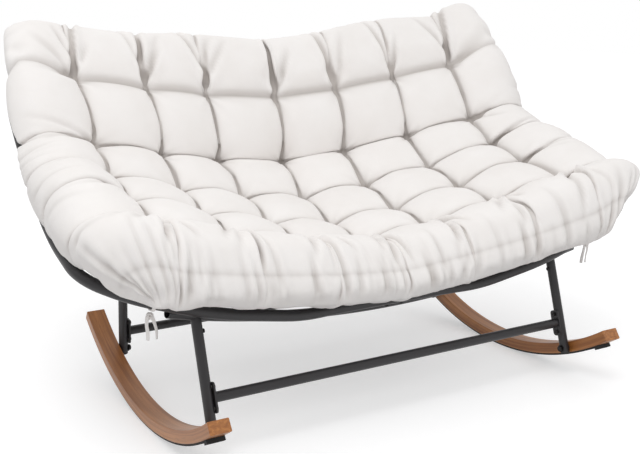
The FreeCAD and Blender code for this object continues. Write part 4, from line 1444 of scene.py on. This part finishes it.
        for column in self.columns:
            for row, ahead in ((1, -1), (self.tuft_rows, 1)):
                for _ in range(int(draw.integers(3, 6))):
                    reach = draw.uniform(0.3, 0.85) * ahead
                    end = (near(column, 0.45), row + reach)
                    start = (near(column, 0.06), row + 0.08 * ahead)
                    add(FoldKind.FAN, start, end)
            for _ in range(2):
                start = (near(column, 0.12), self.tuft_rows + 0.12)
                end = (near(start[0], 0.25), self.tuft_rows + draw.uniform(0.6, 0.85))
                add(FoldKind.PLEAT, start, end)
        for row in range(1, self.last):
            for hand in (-1, 1):
                for _ in range(int(draw.integers(2, 5))):
                    end = (hand * (self.tuft_columns + draw.uniform(0.3, 0.85)), near(row, 0.4))
                    start = (hand * (self.tuft_columns + 0.06), near(row, 0.05))
                    add(FoldKind.SIDE_FAN, start, end)
        for _ in range(self.front_gathers):
            place = near(0, self.edge - 0.1)
            end = (near(place, 0.12), self.last - draw.uniform(0.25, 0.8))
            add(FoldKind.FRONT_GATHER, (place, self.last + 0.02), end)
        for _ in range(self.back_gathers):
            place = near(0, self.edge - 0.1)
            end = (near(place, 0.15), draw.uniform(0.2, 0.5))
            add(FoldKind.BACK_GATHER, (place, -0.02), end)
        for hand in (-1, 1):
            for _ in range(self.side_gathers):
                place = draw.uniform(0.4, self.last - 0.1)
                end = (hand * (self.edge - draw.uniform(0.2, 0.6)), near(place, 0.15))
                add(FoldKind.SIDE_GATHER, (hand * (self.edge + 0.02), place), end)
        return found

    def fold_lift(self, place: Array) -> Array:
        """Shape of all wrinkles, each a groove with a low ridge on both sides.

        Args:
            place: Flat place of each point.

        Returns:
            The lift of each point, negative in the grooves.
        """
        lift = np.zeros(len(place))
        for fold in self.folds():
            start = self.flat_place(*fold.start)
            run = self.flat_place(*fold.end) - start
            length = float(np.linalg.norm(run))
            run /= length
            offset = place - start
            ahead = offset @ run / length
            aside = offset @ np.array([-run[1], run[0]]) / fold.width
            fade = np.where((ahead > -0.1) & (ahead < 1), np.cos(math.pi / 2 * unit(ahead)), 0)
            fade = fade * unit((ahead + 0.1) / 0.2)
            ridges = self.ridge * bell(np.abs(aside) - self.ridge_place)
            lift += fold.depth * fade * (ridges - bell(aside))
        return lift

    def tuft_lift(self, place: Array) -> Array:
        """Shape of the fine pleats all round each tuft.

        Args:
            place: Flat place of each point.

        Returns:
            The lift of each point.
        """
        draw = np.random.default_rng(self.seed + 1)
        lift = np.zeros(len(place))
        for column in self.columns:
            for row in range(1, self.last):
                offset = place - self.flat_place(column, row)
                far = np.linalg.norm(offset, axis=1)
                turn = np.arctan2(offset[:, 1], offset[:, 0])
                count = int(draw.integers(6, 10))
                pleats = np.cos(count * turn + draw.uniform(0, 6.28) + 0.7 * np.sin(2 * turn))
                fade = np.exp(-far / self.ripple_reach) * unit(far / self.ripple_start)
                lift += self.ripple * pleats * fade
        return lift

    def wrinkle(self, piece: Object) -> None:
        """Press folds and sewn lines into the upper sheet, and mark painted shade: how much darker
        each point's cloth colour is along the sewn lines, the seam and the deep folds.

        Args:
            piece: The cushion.
        """
        mesh = piece.data
        across, along, upper = (layer_values(mesh, layer) for layer in PLACES)
        normal = read(mesh.vertex_normals, "vector", 3)
        place = self.flat_place(across, along)
        lift = self.fold_lift(place) + self.tuft_lift(place)
        lift = np.maximum(lift, self.fold_limit * np.tanh(lift / self.fold_limit))
        off_column = np.abs(across - np.round(np.clip(across, self.columns[0], self.columns[-1])))
        off_row = np.abs(along - np.round(np.clip(along, 1, self.tuft_rows)))
        columns, out = self.column_share(along), self.border(across)
        lift -= self.groove * columns * np.exp(-off_column * self.pitch / self.groove_width)
        rows = self.row_groove - self.border_calm * out
        lift -= self.groove * rows * np.exp(-off_row * self.run / self.groove_width)
        seam = bell((along - self.seam_place) * self.run / self.seam_groove_width)
        lift -= self.seam_groove * seam
        lift *= unit(upper * 1.5 - 0.25)
        lift *= unit(np.minimum.reduce([along, self.last - along, 1 - out]) / self.seam_fade)
        set_positions(mesh, positions(mesh) + normal * lift[:, None])
        # painted shade: darker cloth colour along the sewn lines, at the seam and in the deep fold
        # grooves
        painted_crease_shade = columns * np.exp(-off_column / self.column_shade_width)
        rows = self.row_shade - self.border_calm * out
        painted_crease_shade = np.maximum(painted_crease_shade, rows * np.exp(-off_row / self.row_shade_width))
        painted_crease_shade = self.line_shade * np.maximum(painted_crease_shade, self.seam_shade * seam)
        painted_crease_shade += self.deep_fold_shade * unit(-lift / self.deep_fold_shade_depth)
        set_layer(mesh, PAINTED_SHADE_LAYER, unit(painted_crease_shade) * upper)

    def rest(self, piece: Object) -> None:
        """Let the tubes press into the cover where it lies on them.

        Args:
            piece: The cushion.
        """
        tubes = self.tubes()
        mesh = piece.data
        points = positions(mesh)
        across, along, upper = (layer_values(mesh, layer) for layer in PLACES)
        held_across = np.clip(across, 0.5 - self.edge, self.edge - 0.5)
        held_along = np.clip(along, 0.45, self.last - 0.5)
        core = self.core_share * self.cover(held_across, held_along)
        core += (1 - self.core_share) * self.underside(held_across, held_along)
        inset = np.minimum.reduce([self.edge - np.abs(across), along, self.last - along])
        chosen = np.flatnonzero((upper < 0.5) | (inset < self.rest_border))
        before = points.copy()
        for rounds in self.rest_rounds:
            move = np.zeros_like(points)
            for k in chosen:
                move[k] = self.press(tubes, Vector(core[k]), Vector(points[k]), upper[k] > 0.5)
            for _ in range(rounds):
                spread = self.rest_spread * self.neighbour_mean(mesh, move)
                wider = np.linalg.norm(spread, axis=1) > np.linalg.norm(move, axis=1)
                move[wider] = spread[wider]
            points = points + move
        set_positions(mesh, points)
        far = np.linalg.norm(points - before, axis=1).max()
        LOG.info("the tubes press in by %.1f mm at most", 1000 * far)

    def press(self, tubes: BVHTree, core: Vector, place: Vector, upper: bool) -> Vector:
        """Find how far the tubes push one point back towards the cushion's core.

        Args:
            tubes: The tubes.
            core: Place in the filling from which the point is seen.
            place: The point.
            upper: Whether the point is on the upper sheet.

        Returns:
            The push, which is zero where no tube is in the way.
        """
        way = place - core
        length = way.length
        if length < 1e-4:
            return Vector()
        if upper:
            near = tubes.find_nearest(place, self.rest_reach)
            if near[0] is None or (place - near[0]).dot(near[1]) > self.rest_gap:
                return Vector()
        way.normalize()
        hit = tubes.ray_cast(core, way, length + self.rest_gap)
        return Vector() if hit[0] is None else way * (hit[3] - self.rest_gap - length)

    def tubes(self) -> BVHTree:
        """Gather what the cushion lies on.

        Returns:
            The outer faces of the tubes and of the ties' loops.
        """
        points: list[list[float]] = []
        faces: list[tuple[int, ...]] = []
        for name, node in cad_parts.items():
            if name.startswith(("rim_left", "rim_right", "seat_", "tie_loop")):
                start = len(points)
                faces += [tuple(v + start for v in face) for face in self.outer_faces(node.data)]
                points += positions(node.data).tolist()
        return BVHTree.FromPolygons(points, faces)

    def outer_faces(self, mesh: Mesh) -> list[tuple[int, ...]]:
        """Leave out the faces of a tube's bore, which see their own tube across the bore.

        Args:
            mesh: The tube.

        Returns:
            Vertex numbers of the other faces.
        """
        faces = [tuple(polygon.vertices) for polygon in mesh.polygons]
        own = BVHTree.FromPolygons(positions(mesh).tolist(), faces)
        kept = []
        for face, polygon in zip(faces, mesh.polygons):
            start = polygon.center + polygon.normal * 1e-4
            if own.ray_cast(start, polygon.normal, self.bore)[0] is None:
                kept.append(face)
        return kept

    @staticmethod
    def neighbour_mean(mesh: Mesh, values: Array) -> Array:
        """Mean of the values at each vertex's neighbours.

        Args:
            mesh: The mesh.
            values: One row for each vertex.

        Returns:
            The means, one row for each vertex.
        """
        ends = read(mesh.edges, "vertices", 2, np.int32)
        count = np.bincount(ends.ravel(), minlength=len(values))[:, None]
        total = np.zeros_like(values)
        np.add.at(total, ends[:, 0], values[ends[:, 1]])
        np.add.at(total, ends[:, 1], values[ends[:, 0]])
        return total / count

    def untangle(self, piece: Object) -> None:
        """Smooth the spots where the cover runs through itself.

        Args:
            piece: The cushion.
        """
        mesh = piece.data
        faces = [tuple(polygon.vertices) for polygon in mesh.polygons]
        for _ in range(self.untangle_rounds):
            points = positions(mesh)
            tree = BVHTree.FromPolygons(points.tolist(), faces)
            crossed: set[int] = set()
            for a, b in tree.overlap(tree):
                if a < b and not set(faces[a]) & set(faces[b]):
                    crossed.update(faces[a] + faces[b])
            LOG.info("%d points of the cover are tangled", len(crossed))
            if not crossed:
                break
            share = np.zeros((len(points), 1))
            share[sorted(crossed)] = 1.0
            for _ in range(2):
                share = np.maximum(share, self.untangle_spread * self.neighbour_mean(mesh, share))
            for _ in range(3):
                pull = self.neighbour_mean(mesh, points) - points
                points = points + self.untangle_step * share * pull
            set_positions(mesh, points)


def main() -> None:
    """Build the chair's looks in order."""
    logging.basicConfig(level=logging.INFO, format="%(name)s: %(message)s")
    shelf = EffectShelf()
    Studio().build()
    SteelAndWood(shelf).dress()
    strap_cloth = WovenCloth(name="tie_cloth", thread_pitch=0.0008)
    for end in End:
        for side in ("left", "right"):
            Tie(end, side).build(shelf, strap_cloth)
    Cushion(shelf).build()


if __name__ == "__main__":
    main()
